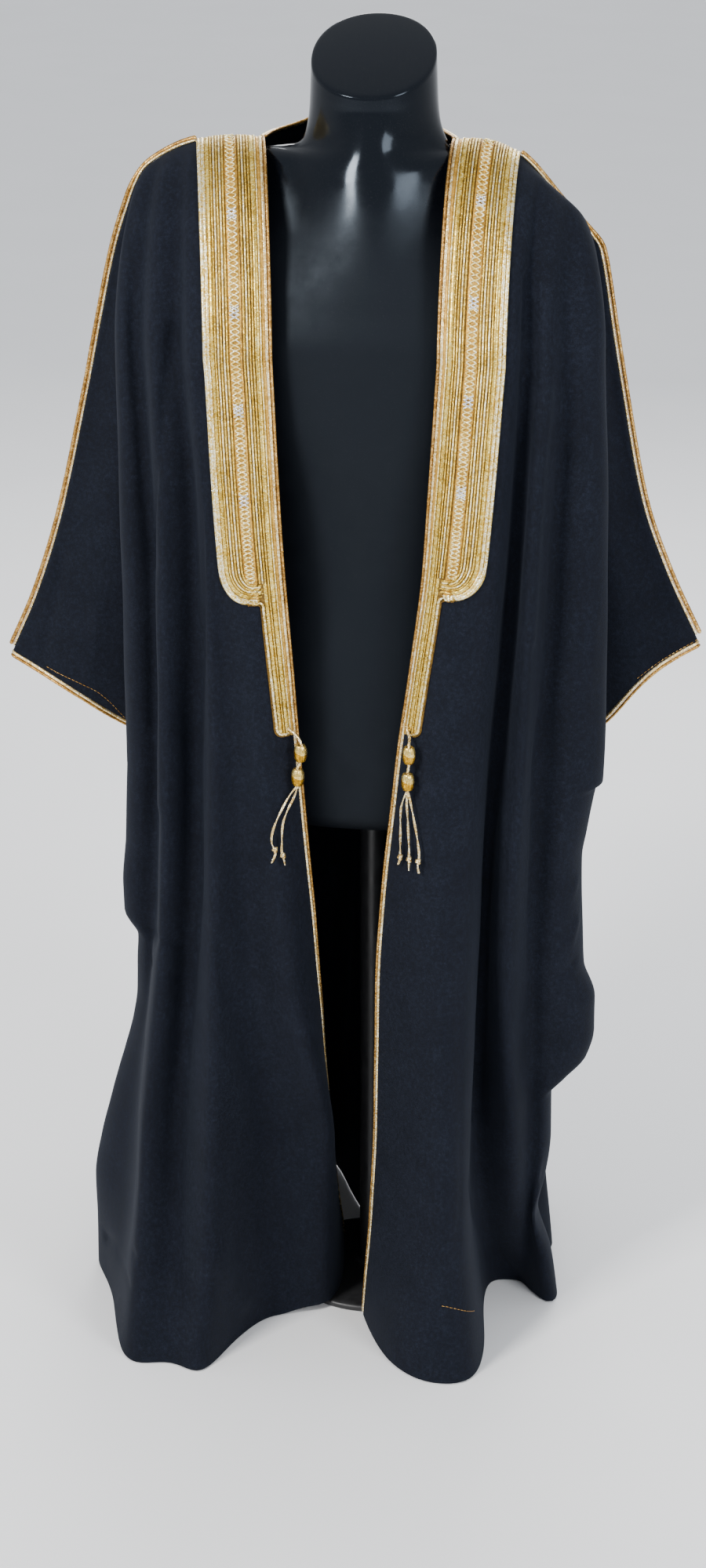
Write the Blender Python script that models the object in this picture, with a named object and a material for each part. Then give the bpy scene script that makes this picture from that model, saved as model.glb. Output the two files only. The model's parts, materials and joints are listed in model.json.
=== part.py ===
"""Bisht cloak worn open on a limbless dress form. Metres, +Z up, the front faces -Y.

"left" is the -X side and "right" the +X side, as someone facing the cloak sees them. Every cloth piece is a wall
through sections at set heights: each row of a fold table is one ridge, valley or seam followed from the shoulder
to the hem. The origin is the middle of the stand's underside on the floor.
"""

import math

import bpy
import numpy as np

MM = 0.001

# Cloth and trims
CLOTH = 1.6 * MM
GAP = 0.3 * MM
SEAM_GAP = 0.7 * MM
PIPING_RADIUS = 3.0 * MM
CUFF_PIPING_SHORT = 8.0 * MM
SLEEVE_FOLD, SLEEVE_BULGE = 5 * MM, 13 * MM
SLEEVE_START, SLEEVE_END = 0.2, {"left": 2.0, "right": 1.95}
BAND_LIFT, BAND_THICK = 0.7 * MM, 1.5 * MM
STRIP_INNER, STRIP_OUTER = 1.5 * MM, 22.6 * MM
PANEL_INNER, PANEL_OUTER = 23.6 * MM, 62.9 * MM
BAND_LINES = (0.0, 23.1 * MM, 63.0 * MM)
PANEL_END = {"left": 0.872, "right": 0.886}
STRIP_END = {"left": 0.728, "right": 0.7365}
PANEL_CORNER, STRIP_CORNER = 30.0 * MM, 9.0 * MM
OVER_SHOULDER = 12.0 * MM

# Heights of the sections
CHEST = 1.12
UNDERARM = 0.656
HEM = 0.0015
CREST_ROW = 0.1
ROLL_ROWS, UPPER_ROWS, LOWER_ROWS = 4, 7, 9
LEVELS = (1.12, 0.92, 0.70, 0.46, 0.22, 0.0)
ROLL_SHAPE = 1.2
NAPE_SHAPE = 1.9
SHOULDER_END = 0.90

# The crest of the shoulder, from the neck to the tip of the shoulder: x, y, z in mm
SHOULDER = {
    "left": ((-118, 0, 1314), (-150, 0, 1313), (-186, 0, 1306.5), (-219, 0, 1291), (-234, 0, 1279), (-245, 0, 1261)),
    "right": ((84, 0, 1316), (112, 0, 1314), (140, 0, 1304), (174, 0, 1281), (202, 0, 1256), (228, 0, 1226)),
}
# Where the shoulder seam has slipped behind the crest: how far back and down in mm, the shares of the shoulder
# over which it does so, and the share from which the crest comes back to it
SLIPPED = {"left": (0, 0, 0.0, 1.0, 0.0), "right": (26, 22, 0.33, 0.72, 0.76)}
# The top fold of the sleeve, from the tip of the shoulder to the corner of the cuff
SLEEVE_TOP = {
    "left": ((-244.5, 0, 1263), (-268, 14, 1200), (-289, 24, 1118), (-308, 30, 1036), (-340, 30, 905), (-370, 30, 815),
             (-402, 30, 744)),
    "right": ((224, 26, 1212), (230, 25, 1186), (240, 26, 1130), (253, 30, 1060), (279, 30, 939), (308, 30, 862),
              (344, 30, 788)),
}
# How far the middle of each cuff's edge rises above the line between its ends
CUFF_RISE = {"left": 0.0, "right": 5 * MM}
# The back edge of the neck, from the left shoulder to the right one
NECK = ((-118, 0, 1314), (-113, 30, 1313), (-94, 60, 1315), (-52, 84, 1326), (-14, 88, 1330), (26, 82, 1326),
        (62, 58, 1315), (80, 28, 1312), (84, 0, 1316))

# Armhole and side seam: height, x, y on the front piece, y on the back piece
SEAM = {
    "left": ((1273.8, -237.7, -0.7, 0.7), (1262, -238, -3.2, 4), (1200, -239, -2.6, 30), (1120, -240, 0, 54),
             (920, -234, 5, 60), (720, -232, 14, 52), (656, -236, 22, 38), (566, -246, 34, 34), (460, -254, 35, 35),
             (220, -286, 45, 45), (0, -306, 72, 72)),
    "right": ((1217.5, 216.7, 25.2, 26.8), (1205, 218.5, 16, 31), (1170, 222, 0, 40), (1120, 222, 0, 52),
              (920, 218, 5, 60), (720, 212, 14, 52), (656, 210, 22, 38), (566, 214, 34, 34), (460, 218, 35, 35),
              (220, 192, 45, 45), (0, 208, 72, 72)),
}

# One row for each fold line of a front, from its edge to its side: share of the shoulder line where it starts,
# then x and y at each of LEVELS
FRONT = {
    "left": {
        "edge": (0.00, (-94, -125), (-82, -140), (-65, -140), (-48, -120), (-40, -60), (-38, 44)),
        "front": (0.34, (-137, -131), (-127, -150), (-102, -158), (-82, -158), (-48, -118), (-48, -103)),
        "dip": (0.46, (-156, -127), (-143, -145), (-126, -151), (-113, -144), (-102, -124), (-104, -124)),
        "ridge_a": (0.54, (-173, -122), (-159, -142), (-153, -158), (-153, -182), (-157, -202), (-160, -233)),
        "valley_a": (0.62, (-188, -101), (-174, -108), (-175, -118), (-182, -134), (-198, -156), (-200, -226)),
        "ridge_b": (0.70, (-207, -107), (-199, -126), (-200, -141), (-208, -153), (-229, -174), (-236, -230)),
        "valley_b": (0.80, (-231, -78), (-222, -84), (-222, -86), (-232, -86), (-259, -92), (-280, -134)),
        "tube_front": (0.87, (-246, -80), (-242, -90), (-240, -92), (-245, -83), (-281, -66), (-302, -76)),
        "tube": (0.92, (-257, -56), (-255, -60), (-257, -60), (-259, -48), (-297, -28), (-324, -16)),
        "pocket": (0.96, (-232, -26), (-214, -24), (-212, -14), (-224, -6), (-262, 14), (-284, 32)),
    },
    "right": {
        "edge": (0.00, (82, -125), (71, -140), (45, -145), (24, -135), (18, -120), (3, -106)),
        "front": (0.38, (128, -131), (114, -151), (98, -166), (98, -177), (103, -195), (86, -226)),
        "lobe": (0.50, (148, -124), (138, -140), (124, -152), (121, -157), (122, -172), (134, -215)),
        "valley_a": (0.60, (166, -103), (158, -109), (145, -107), (135, -97), (131, -78), (141, -22)),
        "ridge_a": (0.69, (184, -110), (176, -129), (170, -138), (161, -129), (167, -96), (171, -14)),
        "valley_b": (0.78, (201, -87), (196, -95), (187, -97), (184, -90), (185, -71), (188, -30)),
        "tube_front": (0.86, (221, -86), (225, -96), (225, -99), (216, -92), (203, -74), (213, -52)),
        "tube": (0.92, (237, -56), (246, -58), (250, -54), (236, -42), (207, -24), (219, -14)),
        "pocket": (0.96, (214, -26), (206, -22), (204, -14), (200, -6), (180, 14), (192, 32)),
    },
}

# One row for each fold line of the back, from the left seam to the right one: share of the top edge where it
# starts, then x and y at each of LEVELS
BACK = {
    "pocket_left": (0.035, (-226, 74), (-212, 82), (-210, 80), (-222, 76), (-264, 84), (-286, 112)),
    "ridge_1": (0.09, (-226, 104), (-236, 120), (-240, 128), (-250, 134), (-278, 152), (-297, 186)),
    "valley_1": (0.17, (-184, 102), (-190, 112), (-194, 118), (-202, 124), (-224, 138), (-244, 160)),
    "ridge_2": (0.25, (-140, 124), (-148, 142), (-152, 154), (-160, 168), (-176, 190), (-192, 226)),
    "valley_2": (0.33, (-100, 114), (-106, 124), (-110, 130), (-115, 136), (-126, 146), (-138, 168)),
    "ridge_3": (0.415, (-60, 127), (-64, 146), (-66, 160), (-70, 174), (-78, 198), (-84, 236)),
    "valley_3": (0.50, (-12, 120), (-12, 128), (-12, 132), (-12, 130), (-13, 122), (-12, 110)),
    "ridge_4": (0.585, (34, 127), (38, 146), (40, 160), (44, 174), (50, 198), (54, 234)),
    "valley_4": (0.67, (76, 114), (82, 124), (86, 130), (88, 136), (94, 146), (100, 166)),
    "ridge_5": (0.75, (118, 122), (126, 142), (130, 154), (132, 166), (136, 186), (146, 220)),
    "valley_5": (0.83, (162, 102), (168, 112), (172, 118), (170, 124), (164, 136), (172, 158)),
    "ridge_6": (0.91, (208, 100), (216, 116), (220, 124), (210, 128), (183, 146), (192, 178)),
    "pocket_right": (0.965, (212, 72), (206, 80), (202, 78), (194, 76), (176, 84), (190, 110)),
}

# The outline of the side folds below the underarm: height and x in mm
OUTLINE = {
    "left": ((660, -257), (570, -262), (510, -267), (480, -267), (450, -254), (420, -256), (375, -258), (345, -263),
             (300, -275), (240, -292), (180, -308), (120, -318), (60, -319), (0, -321)),
    "right": ((660, 244), (600, 234), (570, 230), (480, 233), (440, 235), (400, 247), (360, 247), (330, 240), (305, 220),
              (280, 203), (220, 203), (170, 199), (120, 192), (60, 207), (0, 215)),
}
OUTLINE_SHARES = {"tube_front": 0.8, "tube": 1.0, "pocket": 0.5}

# Rings of the dress form: height, half width, depth, middle y, squareness behind and before, and how far the throat
# stands out in front, lengths in mm
TORSO = (
    (600, 150, 96, 6, 2.3, 2.3, 0), (620, 164, 106, 6, 2.3, 2.3, 0), (690, 172, 110, 6, 2.3, 2.3, 0),
    (780, 166, 104, 4, 2.3, 2.3, 0), (870, 148, 94, 2, 2.3, 2.3, 0), (960, 156, 100, 0, 2.3, 2.3, 0),
    (1050, 176, 108, -2, 2.4, 2.4, 0), (1120, 190, 108, -2, 2.4, 2.4, 0), (1170, 194, 98, 0, 2.4, 2.4, 4),
    (1205, 188, 84, 0, 2.3, 2.1, 11), (1236, 176, 66, 1, 2.0, 1.7, 21), (1258, 170, 58, 2, 1.7, 1.3, 23),
    (1278, 163, 53, 3, 1.35, 0.95, 22), (1292, 153, 52, 4, 1.1, 0.78, 19), (1299.5, 144, 52, 4, 1.0, 0.68, 16.5),
    (1303, 134, 50, 3, 0.95, 0.62, 16.4), (1305, 118, 49, 2, 0.95, 0.62, 15.8), (1306.5, 96, 50, 3, 1.05, 0.75, 15.3),
    (1308.5, 80, 53, 6, 1.6, 1.5, 14.7), (1313, 72, 54, 6, 1.9, 1.9, 12.3), (1322, 68, 56, 6, 2.0, 2.0, 8),
    (1340, 64.5, 58, 5, 2.0, 2.0, 1.5),
)
NECK_TOP = (1396, 62, 59.5, 2, 2.1, 2.1, 0)
THROAT = 82 * MM
CAP_TILT = 0.55
NECK_LEAN, NECK_FROM = -1.5 * MM, 1.3
TORSO_SIDES = 36
POLE_RADIUS, POLE_SIDES = 14 * MM, 20
BASE_RADIUS, BASE_THICK, BASE_SIDES = 98 * MM, 8 * MM, 40
OVER_BASE = {"left": 8 * MM, "right": 0.0}

# Tassels: the line of the cord from the band's end through its beads, with how far each point lies before the
# cloth, then the beads and each strand down to its knot, as x and z in mm
TASSELS = {
    "left": {
        "cord": ((-71, 737, 5.2), (-66, 732.5, 7), (-60, 728, 11), (-58, 724.5, 12.5), (-58, 702.5, 12.5),
                 (-61, 696, 12.5), (-61, 674, 12.5)),
        "beads": ((-58, 712.5), (-61, 685.5)),
        "strands": (
            ((-61, 676), (-68, 667), (-75, 655), (-82, 640), (-87, 622), (-86, 612), (-84, 608), (-87, 593)),
            ((-61, 676), (-65, 663), (-71, 650), (-76, 634), (-77, 612), (-77, 604), (-76, 600), (-74, 589)),
        ),
    },
    "right": {
        "cord": ((52, 746, 5.2), (54, 741.5, 7), (56, 737, 11), (56, 733.5, 12.5), (56, 711.5, 12.5),
                 (55, 703.5, 12.5), (55, 681, 12.5)),
        "beads": ((56, 722), (55, 692.5)),
        "strands": (
            ((55, 683), (50, 670), (47, 652), (47, 630), (47, 613), (47, 608), (47, 604), (45, 595)),
            ((55, 683), (54, 669), (55, 650), (56, 632), (57, 615), (57, 609), (57, 605), (57, 593)),
            ((55, 683), (58, 669), (62, 650), (66, 630), (68, 615), (68, 610), (67, 606), (68, 593)),
        ),
    },
}
BEAD_RADIUS, BEAD_HEIGHT, BEAD_HOLE = 6.6 * MM, 18 * MM, 2.3 * MM
CORD_RADIUS, STRAND_RADIUS, KNOT_RADIUS = 1.8 * MM, 1.1 * MM, 2.6 * MM
STRAND_OUT = 7.5 * MM


def pchip(x, y, at):
    """Values at the given places of a smooth curve through (x, y) that never overshoots."""
    x, y, at = np.asarray(x, float), np.asarray(y, float), np.asarray(at, float)
    step = np.diff(x)
    slope = np.diff(y, axis=0) / step[:, None]
    product = slope[:-1] * slope[1:]
    total = slope[:-1] + slope[1:]
    middle = np.where(product > 0, 2 * product / np.where(total == 0, 1, total), 0)
    slopes = np.vstack([slope[:1], middle, slope[-1:]])
    i = np.clip(np.searchsorted(x, at, side="right") - 1, 0, len(step) - 1)
    t = ((at - x[i]) / step[i])[..., None]
    h = step[i][..., None]
    return (
        y[i] * (1 + 2 * t) * (1 - t) ** 2
        + y[i + 1] * t**2 * (3 - 2 * t)
        + slopes[i] * h * t * (1 - t) ** 2
        - slopes[i + 1] * h * t**2 * (1 - t)
    )


def cubic(knots, points, at, start=None, end=None):
    """A cubic spline through the points, with given end slopes or none, and its slope along itself."""
    n = len(knots)
    h = np.diff(knots)
    matrix = np.zeros((n, n))
    right = np.zeros((n, points.shape[1]))
    slope = np.diff(points, axis=0) / h[:, None]
    for i in range(1, n - 1):
        matrix[i, i - 1 : i + 2] = h[i], 2 * (h[i - 1] + h[i]), h[i - 1]
        right[i] = 3 * (h[i] * slope[i - 1] + h[i - 1] * slope[i])
    for row, near, given, chord in ((0, 1, start, slope[0]), (n - 1, n - 2, end, slope[-1])):
        matrix[row, row] = 1 if given is not None else 2
        matrix[row, near] = 0 if given is not None else 1
        right[row] = given if given is not None else 3 * chord
    slopes = np.linalg.solve(matrix, right)
    i = np.clip(np.searchsorted(knots, at, side="right") - 1, 0, n - 2)
    t = ((at - knots[i]) / h[i])[:, None]
    w = h[i][:, None]
    a, b, p, q = points[i], points[i + 1], slopes[i] * w, slopes[i + 1] * w
    place = a * (1 + 2 * t) * (1 - t) ** 2 + b * t**2 * (3 - 2 * t) + p * t * (1 - t) ** 2 - q * t**2 * (1 - t)
    along = (6 * t * t - 6 * t) * (a - b) + p * (3 * t - 1) * (t - 1) + q * t * (3 * t - 2)
    return place, along / w


def arc_lengths(points):
    return np.concatenate([[0], np.cumsum(np.linalg.norm(np.diff(points, axis=0), axis=1))])


def along_line(line, share):
    """Points at these shares of the length of a smooth line through a table's points."""
    points = np.array(line, float) * MM
    knots = arc_lengths(points)
    return pchip(knots, points, np.asarray(share) * knots[-1])


def unit(vectors):
    return vectors / np.maximum(np.linalg.norm(vectors, axis=-1, keepdims=True), 1e-12)


def smooth_step(t):
    t = np.clip(t, 0, 1)
    return t * t * (3 - 2 * t)


def seam_point(side, z, which):
    """The armhole and side seam at a height, on the front or the back piece."""
    table = np.array(SEAM[side], float)[::-1] * MM
    column = 2 if which == "front" else 3
    x, y = pchip(table[:, 0], table[:, [1, column]], np.array([z]))[0]
    return np.array([x, y, z])


def seam_heading(side, z, which):
    """The way the cloth runs across the seam, from front to back: out along the sleeve, or back below it."""
    out = -1.0 if side == "left" else 1.0
    below = smooth_step((UNDERARM + 0.02 - z) / 0.09)
    across = np.array([out, 0.22, 0.0]) if which == "front" else np.array([-out, 0.22, 0.0])
    return unit(across * (1 - below) + np.array([0.0, 1.0, 0.0]) * below)


def outline_shift(side, name, x, z):
    """How far a side fold's line moves so that the tube keeps to the outline, for the tube's x in its own table."""
    if name not in OUTLINE_SHARES or z > OUTLINE[side][0][0] * MM:
        return 0.0
    table = np.array(OUTLINE[side], float)[::-1] * MM
    return (pchip(table[:, 0], table[:, 1:], np.array([z]))[0, 0] - x) * OUTLINE_SHARES[name]


def roll(top, chest, t, shape):
    """From the shoulder down to the chest: out level at first, then ever steeper."""
    angle = t * math.pi / 2
    down, out = 1 - math.cos(angle) ** shape, math.sin(angle) ** shape
    point = top + (chest - top) * out
    point[2] = top[2] + (chest[2] - top[2]) * down
    return point


def height_of(v):
    """v runs from 0 at the shoulder to 1 at the chest, 2 at the underarm and 3 at the hem."""
    return float(np.interp(v, (1, 2, 3), (CHEST, UNDERARM, HEM)))


def line_at(row, z):
    """x and y of a fold line at a height."""
    places = np.array(row[1:], float)[::-1] * MM
    return pchip(np.array(LEVELS)[::-1], places, np.array([z]))[0]


def fold_point(row, top, v, shape):
    """A fold line's point: rolled over the shoulder down to the chest, then as its table has it."""
    if v >= 1:
        z = height_of(v)
        return np.array([*line_at(row, z), z])
    return roll(top, np.array([*line_at(row, CHEST), CHEST]), v, shape)


def seam_at(side, v, which):
    if v >= 1:
        return seam_point(side, height_of(v), which)
    top = SEAM[side][0][0] * MM
    z = top + (CHEST - top) * (1 - math.cos(v * math.pi / 2) ** ROLL_SHAPE)
    return seam_point(side, z, which)


def slipped(side, share, start, end):
    back, down = SLIPPED[side][:2]
    return smooth_step((share - start) / (end - start))[:, None] * np.array([0, back, -down]) * MM


def seam_line(side, shares):
    """Points at these shares of a front's top edge, on the shoulder seam."""
    share = np.asarray(shares) * SHOULDER_END
    return along_line(SHOULDER[side], share) + slipped(side, share, *SLIPPED[side][2:4])


def crest_line(side, shares):
    """The same points on the crest of the shoulder, which meets the seam at its end."""
    share = np.asarray(shares) * SHOULDER_END
    return along_line(SHOULDER[side], share) + slipped(side, share, SLIPPED[side][4], SHOULDER_END)


def front_folds(side, v):
    """The fold lines start on the seam, and just below it pass over the crest."""
    points = []
    on_seam = max(1 - v / CREST_ROW, 0)
    for name, row in FRONT[side].items():
        crest, seam = crest_line(side, [row[0]])[0], seam_line(side, [row[0]])[0]
        top = crest + (seam - crest) * on_seam - [0, SEAM_GAP / 2, 0]
        point = fold_point(row, top, v, ROLL_SHAPE)
        if v >= 1:
            point[0] += outline_shift(side, name, line_at(FRONT[side]["tube"], point[2])[0], point[2])
        points.append(point)
    points.append(seam_at(side, v, "front"))
    return np.array(points)


def back_top_line():
    """The top edge of the back: the left shoulder, the neck and the right shoulder."""
    left = seam_line("left", np.linspace(1, 0, 25))
    neck = along_line(NECK, np.linspace(0, 1, 25)[1:-1])
    right = seam_line("right", np.linspace(0, 1, 25))
    return np.vstack([left, neck, right]) + [0, SEAM_GAP / 2, 0]


def back_folds(v):
    line = back_top_line()
    lengths = arc_lengths(line)
    points = [seam_at("left", v, "back")]
    for row in BACK.values():
        top = pchip(lengths, line, np.array([row[0] * lengths[-1]]))[0]
        nape = smooth_step((0.125 - abs(top[0] + 0.015)) / 0.06)
        shape = ROLL_SHAPE + (NAPE_SHAPE - ROLL_SHAPE) * nape
        points.append(fold_point(row, top, v, shape))
    points.append(seam_at("right", v, "back"))
    return np.array(points)


def knots_of(folds):
    """The same places for the folds in every section, from their mean spacing."""
    sections = [folds(v) for v in (1.0, 1.6, 2.0, 2.6, 3.0)]
    gaps = np.mean([np.linalg.norm(np.diff(points, axis=0), axis=1) for points in sections], axis=0)
    knots = np.concatenate([[0], np.cumsum(gaps)])
    return knots / knots[-1]


def clamp(points, knots, at_start, heading):
    """The slope that makes the spline leave or meet its end along the heading."""
    chord = points[1] - points[0] if at_start else points[-1] - points[-2]
    step = knots[1] - knots[0] if at_start else knots[-1] - knots[-2]
    return heading * np.linalg.norm(chord) / step * 1.1


def front_section(side, v, knots, u):
    """Above the chest the section is eased so that its top edge keeps exactly to the shoulder line."""
    points = front_folds(side, v)
    z = points[-1][2]
    end = clamp(points, knots, False, seam_heading(side, z, "front"))
    place, along = cubic(knots, points, u, None, end)
    if v >= 1:
        return place, along
    shares = np.interp(u, knots, [*(row[0] for row in FRONT[side].values()), 1])
    line = seam_line(side, shares) - [0, SEAM_GAP / 2, 0]
    top, _ = cubic(knots, front_folds(side, 0.0), u, None, end)
    return place + (line - top) * (1 - v) ** 3, along


def back_section(v, knots, u):
    """As front_section, with the top edge on both shoulders and the neck."""
    points = back_folds(v)
    start = clamp(points, knots, True, seam_heading("left", points[0][2], "back"))
    end = clamp(points, knots, False, -seam_heading("right", points[-1][2], "back"))
    place, along = cubic(knots, points, u, start, end)
    if v >= 1:
        return place, along
    line = back_top_line()
    lengths = arc_lengths(line)
    shares = np.interp(u, knots, [0, *(row[0] for row in BACK.values()), 1])
    top, _ = cubic(knots, back_folds(0.0), u, start, end)
    return place + (pchip(lengths, line, shares * lengths[-1]) - top) * (1 - v) ** 3, along


def rows_of():
    above = np.linspace(0, 1, ROLL_ROWS + 1)
    upper = np.linspace(1, 2, UPPER_ROWS + 1)
    lower = np.linspace(2, 3, LOWER_ROWS + 1)
    return np.concatenate([[0, CREST_ROW], above[1:-1], upper, lower[1:]])


def on_facet(grid, row, column, down, across):
    """A point of the two flat triangles between four points of a grid, split as the solid's faces are."""
    a, b = grid[row, column], grid[row + 1, column]
    c, d = grid[row + 1, column + 1], grid[row, column + 1]
    if down > across:
        return a + down * (b - a) + across * (c - b)
    return a + across * (d - a) + down * (c - d)


class Sheet:
    """The middle surface of a cloth piece: points and outward normals, a row for each section."""

    def __init__(self, points, normals, rows):
        self.points = points
        self.normals = normals
        self.rows = rows

    def face(self, lift=0.0):
        """Points on the outer face, moved out by this much more."""
        return self.points + self.normals * (CLOTH / 2 + lift)

    def under_band(self, v, distance, lift):
        """A point this far from the front edge, on the outer face moved out by the lift."""
        row = min(int(np.searchsorted(self.rows, v, side="right")) - 1, len(self.rows) - 2)
        down = (v - self.rows[row]) / (self.rows[row + 1] - self.rows[row])
        column = 0 if distance < BAND_LINES[1] else 1
        across = (distance - BAND_LINES[column]) / (BAND_LINES[column + 1] - BAND_LINES[column])
        return on_facet(self.face(lift), row, column, down, across)


def sheet_of(section, rows, places, flip, on_shoulder):
    """Sections at each row, with normals square to the mean of the faces beside each point and to the cloth's fall.

    on_shoulder tells which points of the top edge lie on a shoulder: there the wall's end stands across the seam.
    """
    points, normals = [], []
    for v in rows:
        u = places(v)
        here, along = section(v, u)
        above, _ = section(max(v - 0.04, 0.0), u)
        below, _ = section(min(v + 0.04, 3.0), u)
        steps = unit(np.diff(here, axis=0))
        along[1:-1] = unit(steps[1:] + steps[:-1])
        normal = unit(np.cross(along, below - above)) * flip
        if v == 0:
            level = unit(np.stack([-along[:, 2], 0 * along[:, 0], along[:, 0]], axis=1))
            level *= np.sign(level[:, 2:])
            normal = np.where(on_shoulder(len(u))[:, None], level, normal)
        points.append(here)
        normals.append(normal)
    return Sheet(np.array(points), np.array(normals), rows)


def trim(section, v, u_fine, start, end):
    """Section places u_fine with the seam allowance taken off either end, as lengths along the section."""
    line, _ = section(v, u_fine)
    lengths = arc_lengths(line)
    return lengths, np.interp([start, lengths[-1] - end], lengths, u_fine)


def front_sheet(side, columns, rows):
    knots = knots_of(lambda v: front_folds(side, v))

    def section(v, u):
        return front_section(side, v, knots, u)

    fine = np.linspace(0, 1, 400)

    def places(v):
        """Columns at the band's edges, then even ones to the seam."""
        lengths, (_, last) = trim(section, v, fine, 0, SEAM_GAP / 2)
        edges = np.interp(BAND_LINES, lengths, fine)
        return np.concatenate([edges[:-1], np.linspace(edges[-1], last, columns - 2)])

    sheet = sheet_of(section, rows, places, 1 if side == "left" else -1, lambda n: np.ones(n, bool))
    hem = sheet.points[-1]
    near = np.hypot(hem[:, 0], hem[:, 1])
    hem[:, 2] += OVER_BASE[side] * smooth_step((BASE_RADIUS + 52 * MM - near) / (30 * MM))
    return sheet


def back_sheet(columns, rows):
    """The back has columns at the bands' lines on either shoulder, and its corners are the columns at the neck."""
    knots = knots_of(back_folds)

    def section(v, u):
        return back_section(v, knots, u)

    line = back_top_line()
    lengths = arc_lengths(line)
    left, right = (np.argmin(np.linalg.norm(line - neck_end(side), axis=1)) for side in SHOULDER)
    marks = [*(lengths[left] - np.array(BAND_LINES[::-1])), *(lengths[right] + np.array(BAND_LINES))]
    shares = [0, *(row[0] for row in BACK.values()), 1]
    marks = np.interp(np.array(marks) / lengths[-1], shares, knots)
    spread = (columns - 5) / (1 - (marks[2] - marks[0]) - (marks[5] - marks[3]))
    counts = [round(marks[0] * spread), 1, 1, round((marks[3] - marks[2]) * spread), 1, 1]
    counts.append(columns - 1 - sum(counts))
    fine = np.linspace(0, 1, 600)

    def places(v):
        _, (first, last) = trim(section, v, fine, SEAM_GAP / 2, SEAM_GAP / 2)
        ends = zip((first, *marks), (*marks, last), counts)
        return np.concatenate([*(np.linspace(a, b, n + 1)[:-1] for a, b, n in ends), [last]])

    corners = [sum(counts[:3]), sum(counts[:4])]

    def on_shoulder(n):
        return (np.arange(n) <= corners[0]) | (np.arange(n) >= corners[1])

    sheet = sheet_of(section, rows, places, 1, on_shoulder)
    sheet.corners = corners
    return sheet


def neck_end(side):
    return np.array(SHOULDER[side][0]) * MM + [0, SEAM_GAP / 2, 0]


def sleeve_top(side, rows):
    """The sleeve's top fold beside each of the seam's rows, the way out from it, and its share of the length."""
    seam = arc_lengths(np.array([seam_at(side, v, "front") for v in rows]))
    share = seam / seam[-1]
    points = along_line(SLEEVE_TOP[side], share * 0.997 + 0.003)
    after = along_line(SLEEVE_TOP[side], np.minimum(share * 0.997 + 0.013, 1))
    before = along_line(SLEEVE_TOP[side], np.maximum(share * 0.997 - 0.007, 0))
    along = unit(after - before)
    out = np.stack([along[:, 2], np.zeros(len(rows)), -along[:, 0]], axis=1) * (1 if side == "left" else -1)
    return points, unit(out), share


def sleeve_sheet(side, columns, rows):
    """Front layer, round top fold and back layer, open at the cuff and towards the body."""
    tops, outs, shares = sleeve_top(side, rows)
    u = np.linspace(0, 1, columns)
    backward = np.array([0.0, 1.0, 0.0])
    points = []
    for k, v in enumerate(rows):
        start, finish = seam_at(side, v, "front"), seam_at(side, v, "back")
        reach = np.dot(tops[k] - (start + finish) / 2, outs[k])
        radius = min(SLEEVE_FOLD, 0.4 * reach)
        bulge = SLEEVE_BULGE * shares[k]
        halves = []
        for sign, end in ((-1, start), (1, finish)):
            apart = min(radius, 0.75 * abs(end[1] - tops[k][1]))
            near = tops[k] - outs[k] * radius + backward * sign * apart
            outer = tops[k] - outs[k] * radius * 0.29 + backward * sign * apart * 0.71
            rise = CUFF_RISE[side] * shares[k] ** 3
            middle = end + (near - end) * 0.5 + [0, sign * bulge, rise]
            halves.append([end, middle, near, outer])
        line = np.array([*halves[0], tops[k], *halves[1][::-1]])
        knots = arc_lengths(line)
        share = knots / knots[-1]
        first = clamp(line, share, True, seam_heading(side, start[2], "front"))
        last = clamp(line, share, False, seam_heading(side, finish[2], "back"))
        inset = SEAM_GAP / 2 / knots[-1]
        here, along = cubic(share, line, inset + u * (1 - 2 * inset), first, last)
        points.append(here)
    points = np.array(points)
    steps = unit(np.diff(points, axis=1))
    along = unit(np.concatenate([steps[:, :1], steps[:, 1:] + steps[:, :-1], steps[:, -1:]], axis=1))
    normals = unit(np.cross(along, np.gradient(points, axis=0))) * (1 if side == "left" else -1)
    return Sheet(points, normals, rows)


def shell(name, outer, inner, material):
    """A closed wall between two grids of the same size."""
    rows, columns = outer.shape[:2]
    points = np.vstack([outer.reshape(-1, 3), inner.reshape(-1, 3)])
    index = np.arange(rows * columns).reshape(rows, columns)
    other = index + rows * columns
    faces = []
    for grid, order in ((index, (0, 1, 2, 3)), (other, (0, 3, 2, 1))):
        quads = np.stack([grid[:-1, :-1], grid[1:, :-1], grid[1:, 1:], grid[:-1, 1:]], axis=-1).reshape(-1, 4)
        quads = quads[:, order]
        faces += quads[:, [0, 1, 2]].tolist() + quads[:, [0, 2, 3]].tolist()
    rim = np.concatenate([index[0, :-1], index[:-1, -1], index[-1, :0:-1], index[:0:-1, 0]])
    back = np.concatenate([other[0, :-1], other[:-1, -1], other[-1, :0:-1], other[:0:-1, 0]])
    faces += np.stack([rim, np.roll(rim, -1), np.roll(back, -1), back], axis=1).tolist()
    return solid(name, points, faces, material)


def solid(name, points, faces, material):
    mesh = bpy.data.meshes.new(name)
    mesh.from_pydata([tuple(map(float, point)) for point in points], [], [list(map(int, face)) for face in faces])
    mesh.validate()
    corners = np.array([[*face] for face in (tri.vertices for tri in triangles(mesh))])
    places = np.array(points)[corners]
    if np.einsum("ij,ij->i", places[:, 0], np.cross(places[:, 1], places[:, 2])).sum() < 0:
        mesh.flip_normals()
    mesh.materials.append(material)
    obj = bpy.data.objects.new(name, mesh)
    bpy.context.scene.collection.objects.link(obj)
    return obj


def triangles(mesh):
    mesh.calc_loop_triangles()
    return mesh.loop_triangles


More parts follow.
